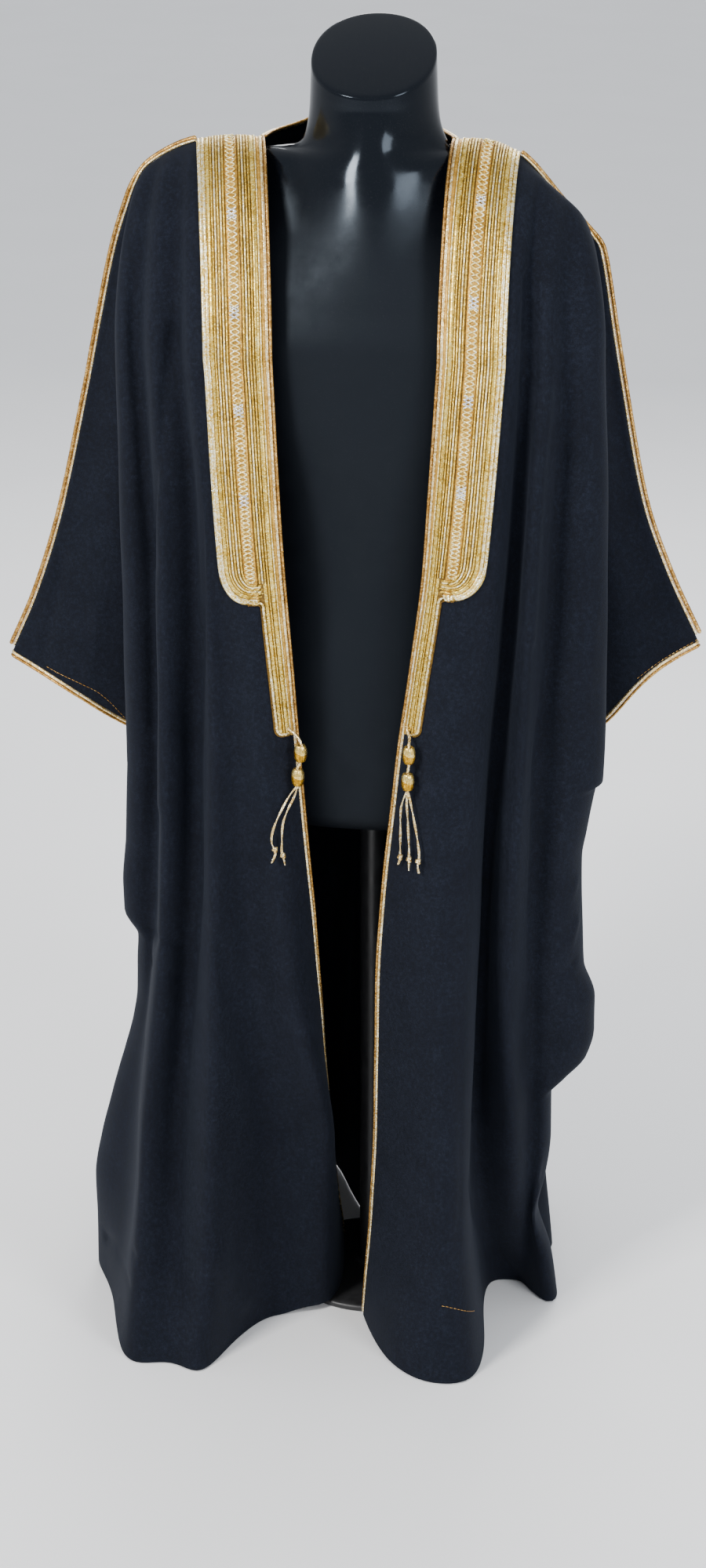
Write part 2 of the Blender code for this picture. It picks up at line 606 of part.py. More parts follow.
def tube(name, path, radius, sides, material):
    """A round bar along a path, its radius one number or one for each point, with flat ends."""
    path = np.array(path)
    radii = np.broadcast_to(radius, len(path))
    along = unit(np.gradient(path, axis=0))
    side = unit(np.cross(along[0], [0.3, 0.2, 1.0] if abs(along[0][2]) < 0.9 else [1.0, 0.2, 0.1]))
    points = []
    for centre, heading, size in zip(path, along, radii):
        side = unit(side - heading * np.dot(side, heading))
        up = np.cross(heading, side)
        turn = np.arange(sides) / sides * 2 * math.pi
        points.append(centre + size * (np.cos(turn)[:, None] * side + np.sin(turn)[:, None] * up))
    points = np.vstack(points)
    index = np.arange(len(points)).reshape(-1, sides)
    faces = []
    for k in range(len(path) - 1):
        a, b = index[k], index[k + 1]
        faces += np.stack([a, np.roll(a, -1), np.roll(b, -1), b], axis=1).tolist()
    faces += [index[0][::-1].tolist(), index[-1].tolist()]
    return solid(name, points, faces, material)


def revolved(name, profile, centre, sides, material):
    """A ring turned round a vertical axis from a closed profile of (radius, height)."""
    turn = np.arange(sides) / sides * 2 * math.pi
    rings = [
        np.stack([centre[0] + r * np.cos(turn), centre[1] + r * np.sin(turn), np.full(sides, centre[2] + h)], axis=1)
        for r, h in profile
    ]
    index = np.arange(len(profile) * sides).reshape(-1, sides)
    faces = []
    for k in range(len(profile)):
        a, b = index[k], index[(k + 1) % len(profile)]
        faces += np.stack([a, np.roll(a, -1), np.roll(b, -1), b], axis=1).tolist()
    return solid(name, np.vstack(rings), faces, material)


def lathe(name, profile, sides, material):
    """A solid turned round the vertical axis from (radius, height), closed by flat ends."""
    turn = np.arange(sides) / sides * 2 * math.pi
    rings = [np.stack([r * np.cos(turn), r * np.sin(turn), np.full(sides, h)], axis=1) for r, h in profile]
    return loft(name, rings, material)


def loft(name, rings, material):
    sides = len(rings[0])
    index = np.arange(len(rings) * sides).reshape(-1, sides)
    faces = []
    for a, b in zip(index[:-1], index[1:]):
        faces += np.stack([a, np.roll(a, -1), np.roll(b, -1), b], axis=1).tolist()
    faces += [index[0][::-1].tolist(), index[-1].tolist()]
    return solid(name, np.vstack(rings), faces, material)


def material_of(name, colour, roughness, metallic=0.0):
    material = bpy.data.materials.new(name)
    material.use_nodes = True
    shader = material.node_tree.nodes["Principled BSDF"]
    shader.inputs["Base Color"].default_value = (*colour, 1)
    shader.inputs["Roughness"].default_value = roughness
    shader.inputs["Metallic"].default_value = metallic
    return material


def wall(name, sheet, material):
    inner = sheet.points - sheet.normals * CLOTH / 2
    return shell(name, sheet.face(), inner, material)


def v_at(z):
    return float(np.interp(-z, (-CHEST, -UNDERARM, -HEM), (1, 2, 3)))


def band_rows(front, end, corner, outer):
    """Rows of a band and its outer edge at each: down the front, with its outer corner rounded at the end."""
    start = v_at(end + corner)
    rows = [(v, outer) for v in front.rows if v < start - 0.05]
    for angle in (math.radians(degrees) for degrees in (0, 30, 60, 90)):
        rows.append((v_at(end + corner * (1 - math.sin(angle))), outer - corner * (1 - math.cos(angle))))
    return rows


def over_shoulder(back, side, distance, lift):
    """The points of the back's outer face on the shoulder line and just behind it, moved out by the lift."""
    corner = back.corners[0 if side == "left" else 1]
    step = 0 if distance < BAND_LINES[1] else 1
    share = (distance - BAND_LINES[step]) / (BAND_LINES[step + 1] - BAND_LINES[step])
    column, across = (corner - 1 - step, 1 - share) if side == "left" else (corner + step, share)
    face = back.face(lift)
    down = OVER_SHOULDER / np.linalg.norm(face[1, column] - face[0, column])
    return on_facet(face, 0, column, 0.0, across), on_facet(face, 0, column, down, across)


def band(name, front, back, side, inner, rows, material):
    """A band lying on the front, from just over the shoulder down to its end."""
    surfaces = []
    for lift in (BAND_LIFT + BAND_THICK, BAND_LIFT):
        grid = []
        tops = [over_shoulder(back, side, distance, lift) for distance in (inner, rows[0][1])]
        grid.append([low for _, low in tops])
        for v, outer in rows:
            grid.append([front.under_band(v, distance, lift) for distance in (inner, outer)])
        for point, (top, _) in zip(grid[1], tops):
            point[:] = [(point[0] + top[0]) / 2, 0.0, max(point[2], top[2])]
        surfaces.append(np.array(grid))
    return shell(name, *surfaces, material)


def beside_edge(edge, near):
    """Unit vectors from the edge out of the sheet, square to the edge."""
    along = unit(np.gradient(edge, axis=0))
    out = edge - near
    return unit(out - along * np.sum(out * along, axis=1, keepdims=True))


def edge_piping(name, sheet, material):
    """A cord beside the cloth's front edge."""
    edge = sheet.points[:, 0]
    path = edge + beside_edge(edge, sheet.points[:, 1]) * (PIPING_RADIUS + GAP)
    slope = np.linalg.norm(path[-1, :2] - path[-2, :2]) / np.linalg.norm(path[-1] - path[-2])
    path[-1][2] = edge[-1][2] + PIPING_RADIUS * slope
    return tube(name, path, PIPING_RADIUS, 6, material)


def shoulder_piping(name, side, rows, material):
    """A cord on the shoulder seam from the band's edge, then along the sleeve's top fold to the cuff."""
    lift = CLOTH / 2 + SEAM_GAP + PIPING_RADIUS
    length = arc_lengths(np.array(SHOULDER[side]) * MM)[-1] * SHOULDER_END
    seam = seam_line(side, np.linspace((PANEL_OUTER + 1.6 * MM) / length, 1, 10))
    along = unit(np.gradient(seam, axis=0))
    up = unit(np.stack([-along[:, 2], np.zeros(len(seam)), along[:, 0]], axis=1))
    up *= np.sign(up[:, 2:])
    up[:, 1] = seam[:, 1] / (100 * MM)
    tops, outs, _ = sleeve_top(side, rows)
    path = np.vstack([seam + unit(up) * lift, tops + outs * lift])
    path[-1] -= unit(path[-1] - path[-2]) * (PIPING_RADIUS + GAP)
    return tube(name, path, PIPING_RADIUS, 6, material)


def cuff_piping(name, sheet, material):
    """A cord round the open cuff, from the seam along the front layer, round the corner and back."""
    edge = sheet.points[-1]
    down = beside_edge(edge, sheet.points[-2])
    path = edge + down * (PIPING_RADIUS + GAP)
    for end, near in ((0, 1), (-1, -2)):
        path[end] += unit(path[near] - path[end]) * CUFF_PIPING_SHORT
    return tube(name, path, PIPING_RADIUS, 6, material)


def neck_piping(name, back, material):
    """A cord on the back edge of the neck, between the two front edges."""
    a, b = back.corners
    edge = back.points[0, a : b + 1]
    inward = unit(back.points[0, a : b + 1] - back.points[1, a : b + 1])
    centre = np.array([-0.016, 0.0, 0.0])
    inward = unit(unit(centre - edge * [1, 1, 0]) + inward * [0, 0, 1.5])
    path = edge + inward * (PIPING_RADIUS + 2 * GAP)
    return tube(name, path[1:-1], PIPING_RADIUS, 6, material)


def torso_ring(row, tilt=0.0, sides=TORSO_SIDES):
    """The throat stands out in the middle of the front, and the neck leans a little to the left."""
    z, half_width, depth, middle = (value * MM for value in row[:4])
    turn = np.arange(sides) / sides * 2 * math.pi
    across, before, rise = np.cos(turn), np.sin(turn) < -1e-6, abs(np.sin(turn))
    power = np.where(before, row[5], row[4])
    x = half_width * np.sign(across) * abs(across) ** (2 / np.where(before, np.maximum(power, 2), power))
    y = np.where(before, -1, 1) * depth * rise ** (2 / power)
    y = y - before * row[6] * MM * rise * np.clip(1 - (x / THROAT) ** 2, 0, 1) ** 2
    lean = NECK_LEAN * smooth_step((z - NECK_FROM) / (40 * MM))
    return np.stack([x + lean, y + middle, z + y * tilt], axis=1)


def front_y(sheet, x, z):
    """The outer face of a front near its edge, at this x and z."""
    v = v_at(z)
    row = int(np.searchsorted(sheet.rows, v, side="right")) - 1
    down = (v - sheet.rows[row]) / (sheet.rows[row + 1] - sheet.rows[row])
    face = sheet.face()[:, :4]
    line = face[row] + down * (face[row + 1] - face[row])
    order = np.argsort(line[:, 0])
    return float(np.interp(x, line[order, 0], line[order, 1]))


def bead(name, centre, material):
    r, h = BEAD_RADIUS, BEAD_HEIGHT / 2
    profile = ((BEAD_HOLE, -h), (0.72 * r, -h), (r, -0.35 * h), (r, 0.35 * h), (0.72 * r, h), (BEAD_HOLE, h))
    return revolved(name, profile, centre, 12, material)


def tassel(side, front, material, bead_material):
    """A cord with two beads and its knotted strands, joined into one body at the cord's end."""
    row = TASSELS[side]
    cord_line = np.array(row["cord"], float) * MM

    def place(x, z, out):
        return np.array([x, front_y(front, x, z) - out, z])

    base = place(*cord_line[-1])[1]
    path = [[x, place(x, z, out)[1] if z > cord_line[3][1] else base, z] for x, z, out in cord_line]
    cord = tube(f"tassel_{side}", path, CORD_RADIUS, 8, material)
    for number, (x, z) in enumerate(np.array(row["beads"], float) * MM):
        bead(f"bead_{side}_{number + 1}", (x, base, z), bead_material)
    for number, line in enumerate(row["strands"]):
        line = np.array(line, float) * MM
        path = []
        for x, z in line:
            share = smooth_step((line[0][1] - z) / (35 * MM))
            path.append(place(x, z, STRAND_OUT) * share + np.array([x, base, z]) * (1 - share))
        radii = np.full(len(path), STRAND_RADIUS)
        radii[-2] = KNOT_RADIUS
        strand = tube(f"strand_{side}_{number + 1}", path, radii, 4, material)
        strand.hide_render = True
        strand.display_type = "WIRE"
        joined = cord.modifiers.new(f"strand {number + 1}", "BOOLEAN")
        joined.operation = "UNION"
        joined.solver = "EXACT"
        joined.object = strand
    return cord


def build():
    cloth = material_of("black wool cloth", (0.012, 0.014, 0.020), 0.85)
    zari = material_of("gold thread braid", (0.72, 0.52, 0.22), 0.42, 0.6)
    rope = material_of("gold rope piping", (0.76, 0.56, 0.28), 0.40, 0.6)
    gold = material_of("gold wrapped bead", (0.80, 0.56, 0.16), 0.30, 0.7)
    gloss = material_of("gloss black moulding", (0.012, 0.012, 0.014), 0.12)
    steel = material_of("black painted stand", (0.020, 0.020, 0.022), 0.35)

    rings = [torso_ring(row) for row in TORSO] + [torso_ring(NECK_TOP, CAP_TILT)]
    loft("form_torso", rings, gloss)
    bottom = TORSO[0][0] * MM
    base_top = BASE_THICK
    lathe("form_pole", ((POLE_RADIUS, base_top + GAP), (POLE_RADIUS, bottom - GAP)), POLE_SIDES, steel)
    profile = ((BASE_RADIUS, 0), (BASE_RADIUS, BASE_THICK * 0.6), (BASE_RADIUS - 6 * MM, BASE_THICK))
    lathe("form_base", profile, BASE_SIDES, steel)

    rows = rows_of()
    back = back_sheet(44, rows)
    wall("back", back, cloth)
    for side in ("left", "right"):
        first, last = SLEEVE_START, SLEEVE_END[side]
        sleeve_rows = np.array([first, *rows[(rows > first) & (rows < last - 0.02)], last])
        front = front_sheet(side, 30, rows)
        wall(f"front_{side}", front, cloth)
        sleeve = sleeve_sheet(side, 17, sleeve_rows)
        wall(f"sleeve_{side}", sleeve, cloth)
        panel_rows = band_rows(front, PANEL_END[side], PANEL_CORNER, PANEL_OUTER)
        band(f"band_panel_{side}", front, back, side, PANEL_INNER, panel_rows, zari)
        strip_rows = band_rows(front, STRIP_END[side], STRIP_CORNER, STRIP_OUTER)
        band(f"band_strip_{side}", front, back, side, STRIP_INNER, strip_rows, zari)
        edge_piping(f"edge_piping_{side}", front, rope)
        shoulder_piping(f"shoulder_piping_{side}", side, sleeve_rows, rope)
        cuff_piping(f"cuff_piping_{side}", sleeve, rope)
        tassel(side, front, rope, gold)
    neck_piping("neck_piping", back, rope)


for stray in list(bpy.data.objects):
    bpy.data.objects.remove(stray)
build()
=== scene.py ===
"""Looks of the bisht cloak on its dress form: the same shapes as the solids, fine enough for thread, rope and nap.

The tables and the section functions are the part source's own, so every thread lies on the cloth that the solids
have. Metres, +Z up, the front faces -Y.
"""

import json
import math
from functools import partial

import bpy
import numpy as np
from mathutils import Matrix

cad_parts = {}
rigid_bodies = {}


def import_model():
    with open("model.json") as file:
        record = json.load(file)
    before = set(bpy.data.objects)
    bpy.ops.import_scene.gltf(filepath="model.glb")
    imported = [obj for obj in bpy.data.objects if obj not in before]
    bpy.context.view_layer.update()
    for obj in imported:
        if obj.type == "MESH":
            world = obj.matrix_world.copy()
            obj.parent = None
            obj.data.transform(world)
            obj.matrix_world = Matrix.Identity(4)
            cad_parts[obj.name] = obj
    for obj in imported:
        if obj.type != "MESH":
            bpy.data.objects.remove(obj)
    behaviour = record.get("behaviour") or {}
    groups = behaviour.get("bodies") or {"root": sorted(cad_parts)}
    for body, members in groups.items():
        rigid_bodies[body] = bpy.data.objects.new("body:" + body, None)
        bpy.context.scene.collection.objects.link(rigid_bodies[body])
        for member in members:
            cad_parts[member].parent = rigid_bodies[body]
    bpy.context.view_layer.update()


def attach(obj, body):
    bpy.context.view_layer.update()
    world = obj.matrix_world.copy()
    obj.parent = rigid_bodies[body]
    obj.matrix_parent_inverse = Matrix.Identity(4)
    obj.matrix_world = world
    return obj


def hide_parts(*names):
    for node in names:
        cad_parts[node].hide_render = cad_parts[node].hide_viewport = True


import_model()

MM = 0.001
# Which way a side's sheets face, from the order of their rows and columns
FLIP = {"left": 1, "right": -1}
# The gap between sewn pieces, and how far short of the cuff's ends its piping stops
SEAM_GAP, CUFF_PIPING_SHORT = 0.7 * MM, 8 * MM
# The sleeve: radius of its top fold, how far its layers bulge, and the rows where it starts and ends
SLEEVE_FOLD, SLEEVE_BULGE = 5 * MM, 13 * MM
SLEEVE_START, SLEEVE_END = 0.2, {"left": 2.0, "right": 1.95}
# The bands: how far their outer sides are from the cloak's edge, heights of their ends, and radii of their corners
STRIP_OUTER, PANEL_OUTER = 22.6 * MM, 62.9 * MM
PANEL_END = {"left": 0.872, "right": 0.886}
STRIP_END = {"left": 0.728, "right": 0.7365}
PANEL_CORNER, STRIP_CORNER = 30 * MM, 9 * MM

# Heights of the sections, and of the columns of the fold tables
CHEST, UNDERARM, HEM = 1.12, 0.656, 0.0015
LEVELS = (1.12, 0.92, 0.70, 0.46, 0.22, 0.0)
# The row where the folds pass the crest, how the shoulder and the nape roll over, and the share of the shoulder's
# line where the sleeve begins
CREST_ROW, ROLL_SHAPE, NAPE_SHAPE, SHOULDER_END = 0.1, 1.2, 1.9, 0.90

# The crest of the shoulder, from the neck to the tip of the shoulder: x, y, z in mm
SHOULDER = {
    "left": ((-118, 0, 1314), (-150, 0, 1313), (-186, 0, 1306.5), (-219, 0, 1291), (-234, 0, 1279), (-245, 0, 1261)),
    "right": ((84, 0, 1316), (112, 0, 1314), (140, 0, 1304), (174, 0, 1281), (202, 0, 1256), (228, 0, 1226)),
}
# Where the shoulder seam has slipped behind the crest: how far back and down in mm, the shares of the shoulder
# over which it does so, and the share from which the crest comes back to it
SLIPPED = {"left": (0, 0, 0.0, 1.0, 0.0), "right": (26, 22, 0.33, 0.72, 0.76)}
# The top fold of the sleeve, from the tip of the shoulder to the corner of the cuff
SLEEVE_TOP = {
    "left": ((-244.5, 0, 1263), (-268, 14, 1200), (-289, 24, 1118), (-308, 30, 1036), (-340, 30, 905), (-370, 30, 815),
             (-402, 30, 744)),
    "right": ((224, 26, 1212), (230, 25, 1186), (240, 26, 1130), (253, 30, 1060), (279, 30, 939), (308, 30, 862),
              (344, 30, 788)),
}
# How far the middle of each cuff's edge rises above the line between its ends
CUFF_RISE = {"left": 0.0, "right": 5 * MM}
# The back edge of the neck, from the left shoulder to the right one
NECK = ((-118, 0, 1314), (-113, 30, 1313), (-94, 60, 1315), (-52, 84, 1326), (-14, 88, 1330), (26, 82, 1326),
        (62, 58, 1315), (80, 28, 1312), (84, 0, 1316))

# Armhole and side seam: height, x, y on the front piece, y on the back piece
SEAM = {
    "left": ((1273.8, -237.7, -0.7, 0.7), (1262, -238, -3.2, 4), (1200, -239, -2.6, 30), (1120, -240, 0, 54),
             (920, -234, 5, 60), (720, -232, 14, 52), (656, -236, 22, 38), (566, -246, 34, 34), (460, -254, 35, 35),
             (220, -286, 45, 45), (0, -306, 72, 72)),
    "right": ((1217.5, 216.7, 25.2, 26.8), (1205, 218.5, 16, 31), (1170, 222, 0, 40), (1120, 222, 0, 52),
              (920, 218, 5, 60), (720, 212, 14, 52), (656, 210, 22, 38), (566, 214, 34, 34), (460, 218, 35, 35),
              (220, 192, 45, 45), (0, 208, 72, 72)),
}

# One row for each fold line of a front, from its edge to its side: share of the shoulder line where it starts,
# then x and y at each of LEVELS
FRONT = {
    "left": {
        "edge": (0.00, (-94, -125), (-82, -140), (-65, -140), (-48, -120), (-40, -60), (-38, 44)),
        "front": (0.34, (-137, -131), (-127, -150), (-102, -158), (-82, -158), (-48, -118), (-48, -103)),
        "dip": (0.46, (-156, -127), (-143, -145), (-126, -151), (-113, -144), (-102, -124), (-104, -124)),
        "ridge_a": (0.54, (-173, -122), (-159, -142), (-153, -158), (-153, -182), (-157, -202), (-160, -233)),
        "valley_a": (0.62, (-188, -101), (-174, -108), (-175, -118), (-182, -134), (-198, -156), (-200, -226)),
        "ridge_b": (0.70, (-207, -107), (-199, -126), (-200, -141), (-208, -153), (-229, -174), (-236, -230)),
        "valley_b": (0.80, (-231, -78), (-222, -84), (-222, -86), (-232, -86), (-259, -92), (-280, -134)),
        "tube_front": (0.87, (-246, -80), (-242, -90), (-240, -92), (-245, -83), (-281, -66), (-302, -76)),
        "tube": (0.92, (-257, -56), (-255, -60), (-257, -60), (-259, -48), (-297, -28), (-324, -16)),
        "pocket": (0.96, (-232, -26), (-214, -24), (-212, -14), (-224, -6), (-262, 14), (-284, 32)),
    },
    "right": {
        "edge": (0.00, (82, -125), (71, -140), (45, -145), (24, -135), (18, -120), (3, -106)),
        "front": (0.38, (128, -131), (114, -151), (98, -166), (98, -177), (103, -195), (86, -226)),
        "lobe": (0.50, (148, -124), (138, -140), (124, -152), (121, -157), (122, -172), (134, -215)),
        "valley_a": (0.60, (166, -103), (158, -109), (145, -107), (135, -97), (131, -78), (141, -22)),
        "ridge_a": (0.69, (184, -110), (176, -129), (170, -138), (161, -129), (167, -96), (171, -14)),
        "valley_b": (0.78, (201, -87), (196, -95), (187, -97), (184, -90), (185, -71), (188, -30)),
        "tube_front": (0.86, (221, -86), (225, -96), (225, -99), (216, -92), (203, -74), (213, -52)),
        "tube": (0.92, (237, -56), (246, -58), (250, -54), (236, -42), (207, -24), (219, -14)),
        "pocket": (0.96, (214, -26), (206, -22), (204, -14), (200, -6), (180, 14), (192, 32)),
    },
}

# One row for each fold line of the back, from the left seam to the right one: share of the top edge where it
# starts, then x and y at each of LEVELS
BACK = {
    "pocket_left": (0.035, (-226, 74), (-212, 82), (-210, 80), (-222, 76), (-264, 84), (-286, 112)),
    "ridge_1": (0.09, (-226, 104), (-236, 120), (-240, 128), (-250, 134), (-278, 152), (-297, 186)),
    "valley_1": (0.17, (-184, 102), (-190, 112), (-194, 118), (-202, 124), (-224, 138), (-244, 160)),
    "ridge_2": (0.25, (-140, 124), (-148, 142), (-152, 154), (-160, 168), (-176, 190), (-192, 226)),
    "valley_2": (0.33, (-100, 114), (-106, 124), (-110, 130), (-115, 136), (-126, 146), (-138, 168)),
    "ridge_3": (0.415, (-60, 127), (-64, 146), (-66, 160), (-70, 174), (-78, 198), (-84, 236)),
    "valley_3": (0.50, (-12, 120), (-12, 128), (-12, 132), (-12, 130), (-13, 122), (-12, 110)),
    "ridge_4": (0.585, (34, 127), (38, 146), (40, 160), (44, 174), (50, 198), (54, 234)),
    "valley_4": (0.67, (76, 114), (82, 124), (86, 130), (88, 136), (94, 146), (100, 166)),
    "ridge_5": (0.75, (118, 122), (126, 142), (130, 154), (132, 166), (136, 186), (146, 220)),
    "valley_5": (0.83, (162, 102), (168, 112), (172, 118), (170, 124), (164, 136), (172, 158)),
    "ridge_6": (0.91, (208, 100), (216, 116), (220, 124), (210, 128), (183, 146), (192, 178)),
    "pocket_right": (0.965, (212, 72), (206, 80), (202, 78), (194, 76), (176, 84), (190, 110)),
}

# The outline of the side folds below the underarm: height and x in mm
OUTLINE = {
    "left": ((660, -257), (570, -262), (510, -267), (480, -267), (450, -254), (420, -256), (375, -258), (345, -263),
             (300, -275), (240, -292), (180, -308), (120, -318), (60, -319), (0, -321)),
    "right": ((660, 244), (600, 234), (570, 230), (480, 233), (440, 235), (400, 247), (360, 247), (330, 240),
              (305, 220), (280, 203), (220, 203), (170, 199), (120, 192), (60, 207), (0, 215)),
}
# How much of that shift each line takes
OUTLINE_SHARES = {"tube_front": 0.8, "tube": 1.0, "pocket": 0.5}

# Rings of the dress form: height, half width, depth, middle y, squareness behind and before, and how far the throat
# stands out in front, lengths in mm
TORSO = (
    (600, 150, 96, 6, 2.3, 2.3, 0), (620, 164, 106, 6, 2.3, 2.3, 0), (690, 172, 110, 6, 2.3, 2.3, 0),
    (780, 166, 104, 4, 2.3, 2.3, 0), (870, 148, 94, 2, 2.3, 2.3, 0), (960, 156, 100, 0, 2.3, 2.3, 0),
    (1050, 176, 108, -2, 2.4, 2.4, 0), (1120, 190, 108, -2, 2.4, 2.4, 0), (1170, 194, 98, 0, 2.4, 2.4, 4),
    (1205, 188, 84, 0, 2.3, 2.1, 11), (1236, 176, 66, 1, 2.0, 1.7, 21), (1258, 170, 58, 2, 1.7, 1.3, 23),
    (1278, 163, 53, 3, 1.35, 0.95, 22), (1292, 153, 52, 4, 1.1, 0.78, 19), (1299.5, 144, 52, 4, 1.0, 0.68, 16.5),
    (1303, 134, 50, 3, 0.95, 0.62, 16.4), (1305, 118, 49, 2, 0.95, 0.62, 15.8), (1306.5, 96, 50, 3, 1.05, 0.75, 15.3),
    (1308.5, 80, 53, 6, 1.6, 1.5, 14.7), (1313, 72, 54, 6, 1.9, 1.9, 12.3), (1322, 68, 56, 6, 2.0, 2.0, 8),
    (1340, 64.5, 58, 5, 2.0, 2.0, 1.5),
)
NECK_TOP = (1396, 62, 59.5, 2, 2.1, 2.1, 0)
# The points of a ring, the throat's half width, how the neck's cap tilts to the front, and how far the neck leans to
# the side and from what height
TORSO_SIDES, THROAT, CAP_TILT, NECK_LEAN, NECK_FROM = 96, 82 * MM, 0.55, -1.5 * MM, 1.3
# The stand's base, and how far each front's hem is lifted to pass over it
BASE_RADIUS = 98 * MM
OVER_BASE = {"left": 8 * MM, "right": 0.0}

# The rings of the cap and of the underside, as their size and height in mm
CAP = ((0.992, 0.9), (0.975, 1.6), (0.945, 2.0), (0.90, 2.3), (0.75, 3.0), (0.5, 3.8), (0.25, 4.2), (0.004, 4.3))
UNDERSIDE = ((0.004, 0), (0.6, 0), (0.95, 0), (0.985, 0.6))
# The hollow at the neck's base: its rows, how many of them it fades over, and how wide it is smoothed
NECK_ROWS, NECK_FADE, NECK_SOFT, CHEST_SOFT = (140, 182), 8, 13 * MM, 20 * MM

# Tassels: the line of the cord from the band's end through its beads, with how far each point lies before the
# cloth, then the beads and each strand down to its knot, as x and z in mm
TASSELS = {
    "left": {
        "cord": ((-71, 737, 5.2), (-66, 732.5, 7), (-60, 728, 11), (-58, 724.5, 12.5), (-58, 702.5, 12.5),
                 (-61, 696, 12.5), (-61, 674, 12.5)),
        "beads": ((-58, 712.5), (-61, 685.5)),
        "strands": (
            ((-61, 676), (-68, 667), (-75, 655), (-82, 640), (-87, 622), (-86, 612), (-84, 608), (-87, 593)),
            ((-61, 676), (-65, 663), (-71, 650), (-76, 634), (-77, 612), (-77, 604), (-76, 600), (-74, 589)),
        ),
    },
    "right": {
        "cord": ((52, 746, 5.2), (54, 741.5, 7), (56, 737, 11), (56, 733.5, 12.5), (56, 711.5, 12.5),
                 (55, 703.5, 12.5), (55, 681, 12.5)),
        "beads": ((56, 722), (55, 692.5)),
        "strands": (
            ((55, 683), (50, 670), (47, 652), (47, 630), (47, 613), (47, 608), (47, 604), (45, 595)),
            ((55, 683), (54, 669), (55, 650), (56, 632), (57, 615), (57, 609), (57, 605), (57, 593)),
            ((55, 683), (58, 669), (62, 650), (66, 630), (68, 615), (68, 610), (67, 606), (68, 593)),
        ),
    },
}
BEAD_RADIUS, BEAD_HEIGHT, BEAD_HOLE = 6.6 * MM, 18 * MM, 2.3 * MM
CORD_RADIUS, STRAND_OUT = 1.8 * MM, 7.5 * MM


def hermite(x, y, slopes, at):
    """The curve through (x, y) with these slopes, at the given places."""
    i = np.clip(np.searchsorted(x, at, side="right") - 1, 0, len(x) - 2)
    step = np.diff(x)[i]
    t, h = ((at - x[i]) / step)[..., None], step[..., None]
    a, b, p, q = y[i], y[i + 1], slopes[i] * h, slopes[i + 1] * h
    return a * (1 + 2 * t) * (1 - t) ** 2 + b * t**2 * (3 - 2 * t) + p * t * (1 - t) ** 2 - q * t**2 * (1 - t)


def pchip(x, y, at):
    """Values at the given places of a smooth curve through (x, y) that never overshoots."""
    x, y, at = np.asarray(x, float), np.asarray(y, float), np.asarray(at, float)
    slope = np.diff(y, axis=0) / np.diff(x)[:, None]
    product, total = slope[:-1] * slope[1:], slope[:-1] + slope[1:]
    middle = np.where(product > 0, 2 * product / np.where(total == 0, 1, total), 0)
    return hermite(x, y, np.vstack([slope[:1], middle, slope[-1:]]), at)


def cubic(knots, points, at, start=None, end=None):
    """A cubic spline through the points, with given end slopes or none."""
    n = len(knots)
    h = np.diff(knots)
    matrix = np.zeros((n, n))
    right = np.zeros((n, points.shape[1]))
    slope = np.diff(points, axis=0) / h[:, None]
    for i in range(1, n - 1):
        matrix[i, i - 1 : i + 2] = h[i], 2 * (h[i - 1] + h[i]), h[i - 1]
        right[i] = 3 * (h[i] * slope[i - 1] + h[i - 1] * slope[i])
    for row, near, given, chord in ((0, 1, start, slope[0]), (n - 1, n - 2, end, slope[-1])):
        matrix[row, row] = 1 if given is not None else 2
        matrix[row, near] = 0 if given is not None else 1
        right[row] = given if given is not None else 3 * chord
    return hermite(knots, points, np.linalg.solve(matrix, right), at)


def arc_lengths(points, axis=0):
    """The length so far at each point, along one axis of the array."""
    steps = np.linalg.norm(np.diff(points, axis=axis), axis=-1)
    return np.cumsum(np.concatenate([np.zeros_like(steps.take([0], axis)), steps], axis=axis), axis=axis)


def along_line(line, share):
    """Points at these shares of the length of a smooth line through a table's points."""
    points = np.array(line, float) * MM
    knots = arc_lengths(points)
    return pchip(knots, points, np.asarray(share) * knots[-1])


def unit(vectors):
    return vectors / np.maximum(np.linalg.norm(vectors, axis=-1, keepdims=True), 1e-12)


def smooth_step(t):
    t = np.clip(t, 0, 1)
    return t * t * (3 - 2 * t)


def seam_point(side, z, which):
    """The armhole and side seam at a height, on the front or the back piece."""
    table = np.array(SEAM[side], float)[::-1] * MM
    column = 2 if which == "front" else 3
    x, y = pchip(table[:, 0], table[:, [1, column]], np.array([z]))[0]
    return np.array([x, y, z])


def seam_heading(side, z, which):
    """The way the cloth runs across the seam, from front to back: out along the sleeve, or back below it."""
    out = -FLIP[side] if which == "front" else FLIP[side]
    below = smooth_step((UNDERARM + 0.02 - z) / 0.09)
    return unit(np.array([out, 0.22, 0.0]) * (1 - below) + np.array([0.0, 1.0, 0.0]) * below)


def outline_shift(side, name, x, z):
    """How far a side fold's line moves so that the tube keeps to the outline, for the tube's x in its own table."""
    if name not in OUTLINE_SHARES or z > OUTLINE[side][0][0] * MM:
        return 0.0
    table = np.array(OUTLINE[side], float)[::-1] * MM
    return (pchip(table[:, 0], table[:, 1:], np.array([z]))[0, 0] - x) * OUTLINE_SHARES[name]


def roll(top, chest, t, shape):
    """From the shoulder down to the chest: out level at first, then ever steeper."""
    angle = t * math.pi / 2
    down, out = 1 - math.cos(angle) ** shape, math.sin(angle) ** shape
    point = top + (chest - top) * out
    point[2] = top[2] + (chest[2] - top[2]) * down
    return point


def height_of(v):
    """v runs from 0 at the shoulder to 1 at the chest, 2 at the underarm and 3 at the hem."""
    return float(np.interp(v, (1, 2, 3), (CHEST, UNDERARM, HEM)))


def line_at(row, z):
    """x and y of a fold line at a height."""
    places = np.array(row[1:], float)[::-1] * MM
    return pchip(np.array(LEVELS)[::-1], places, np.array([z]))[0]


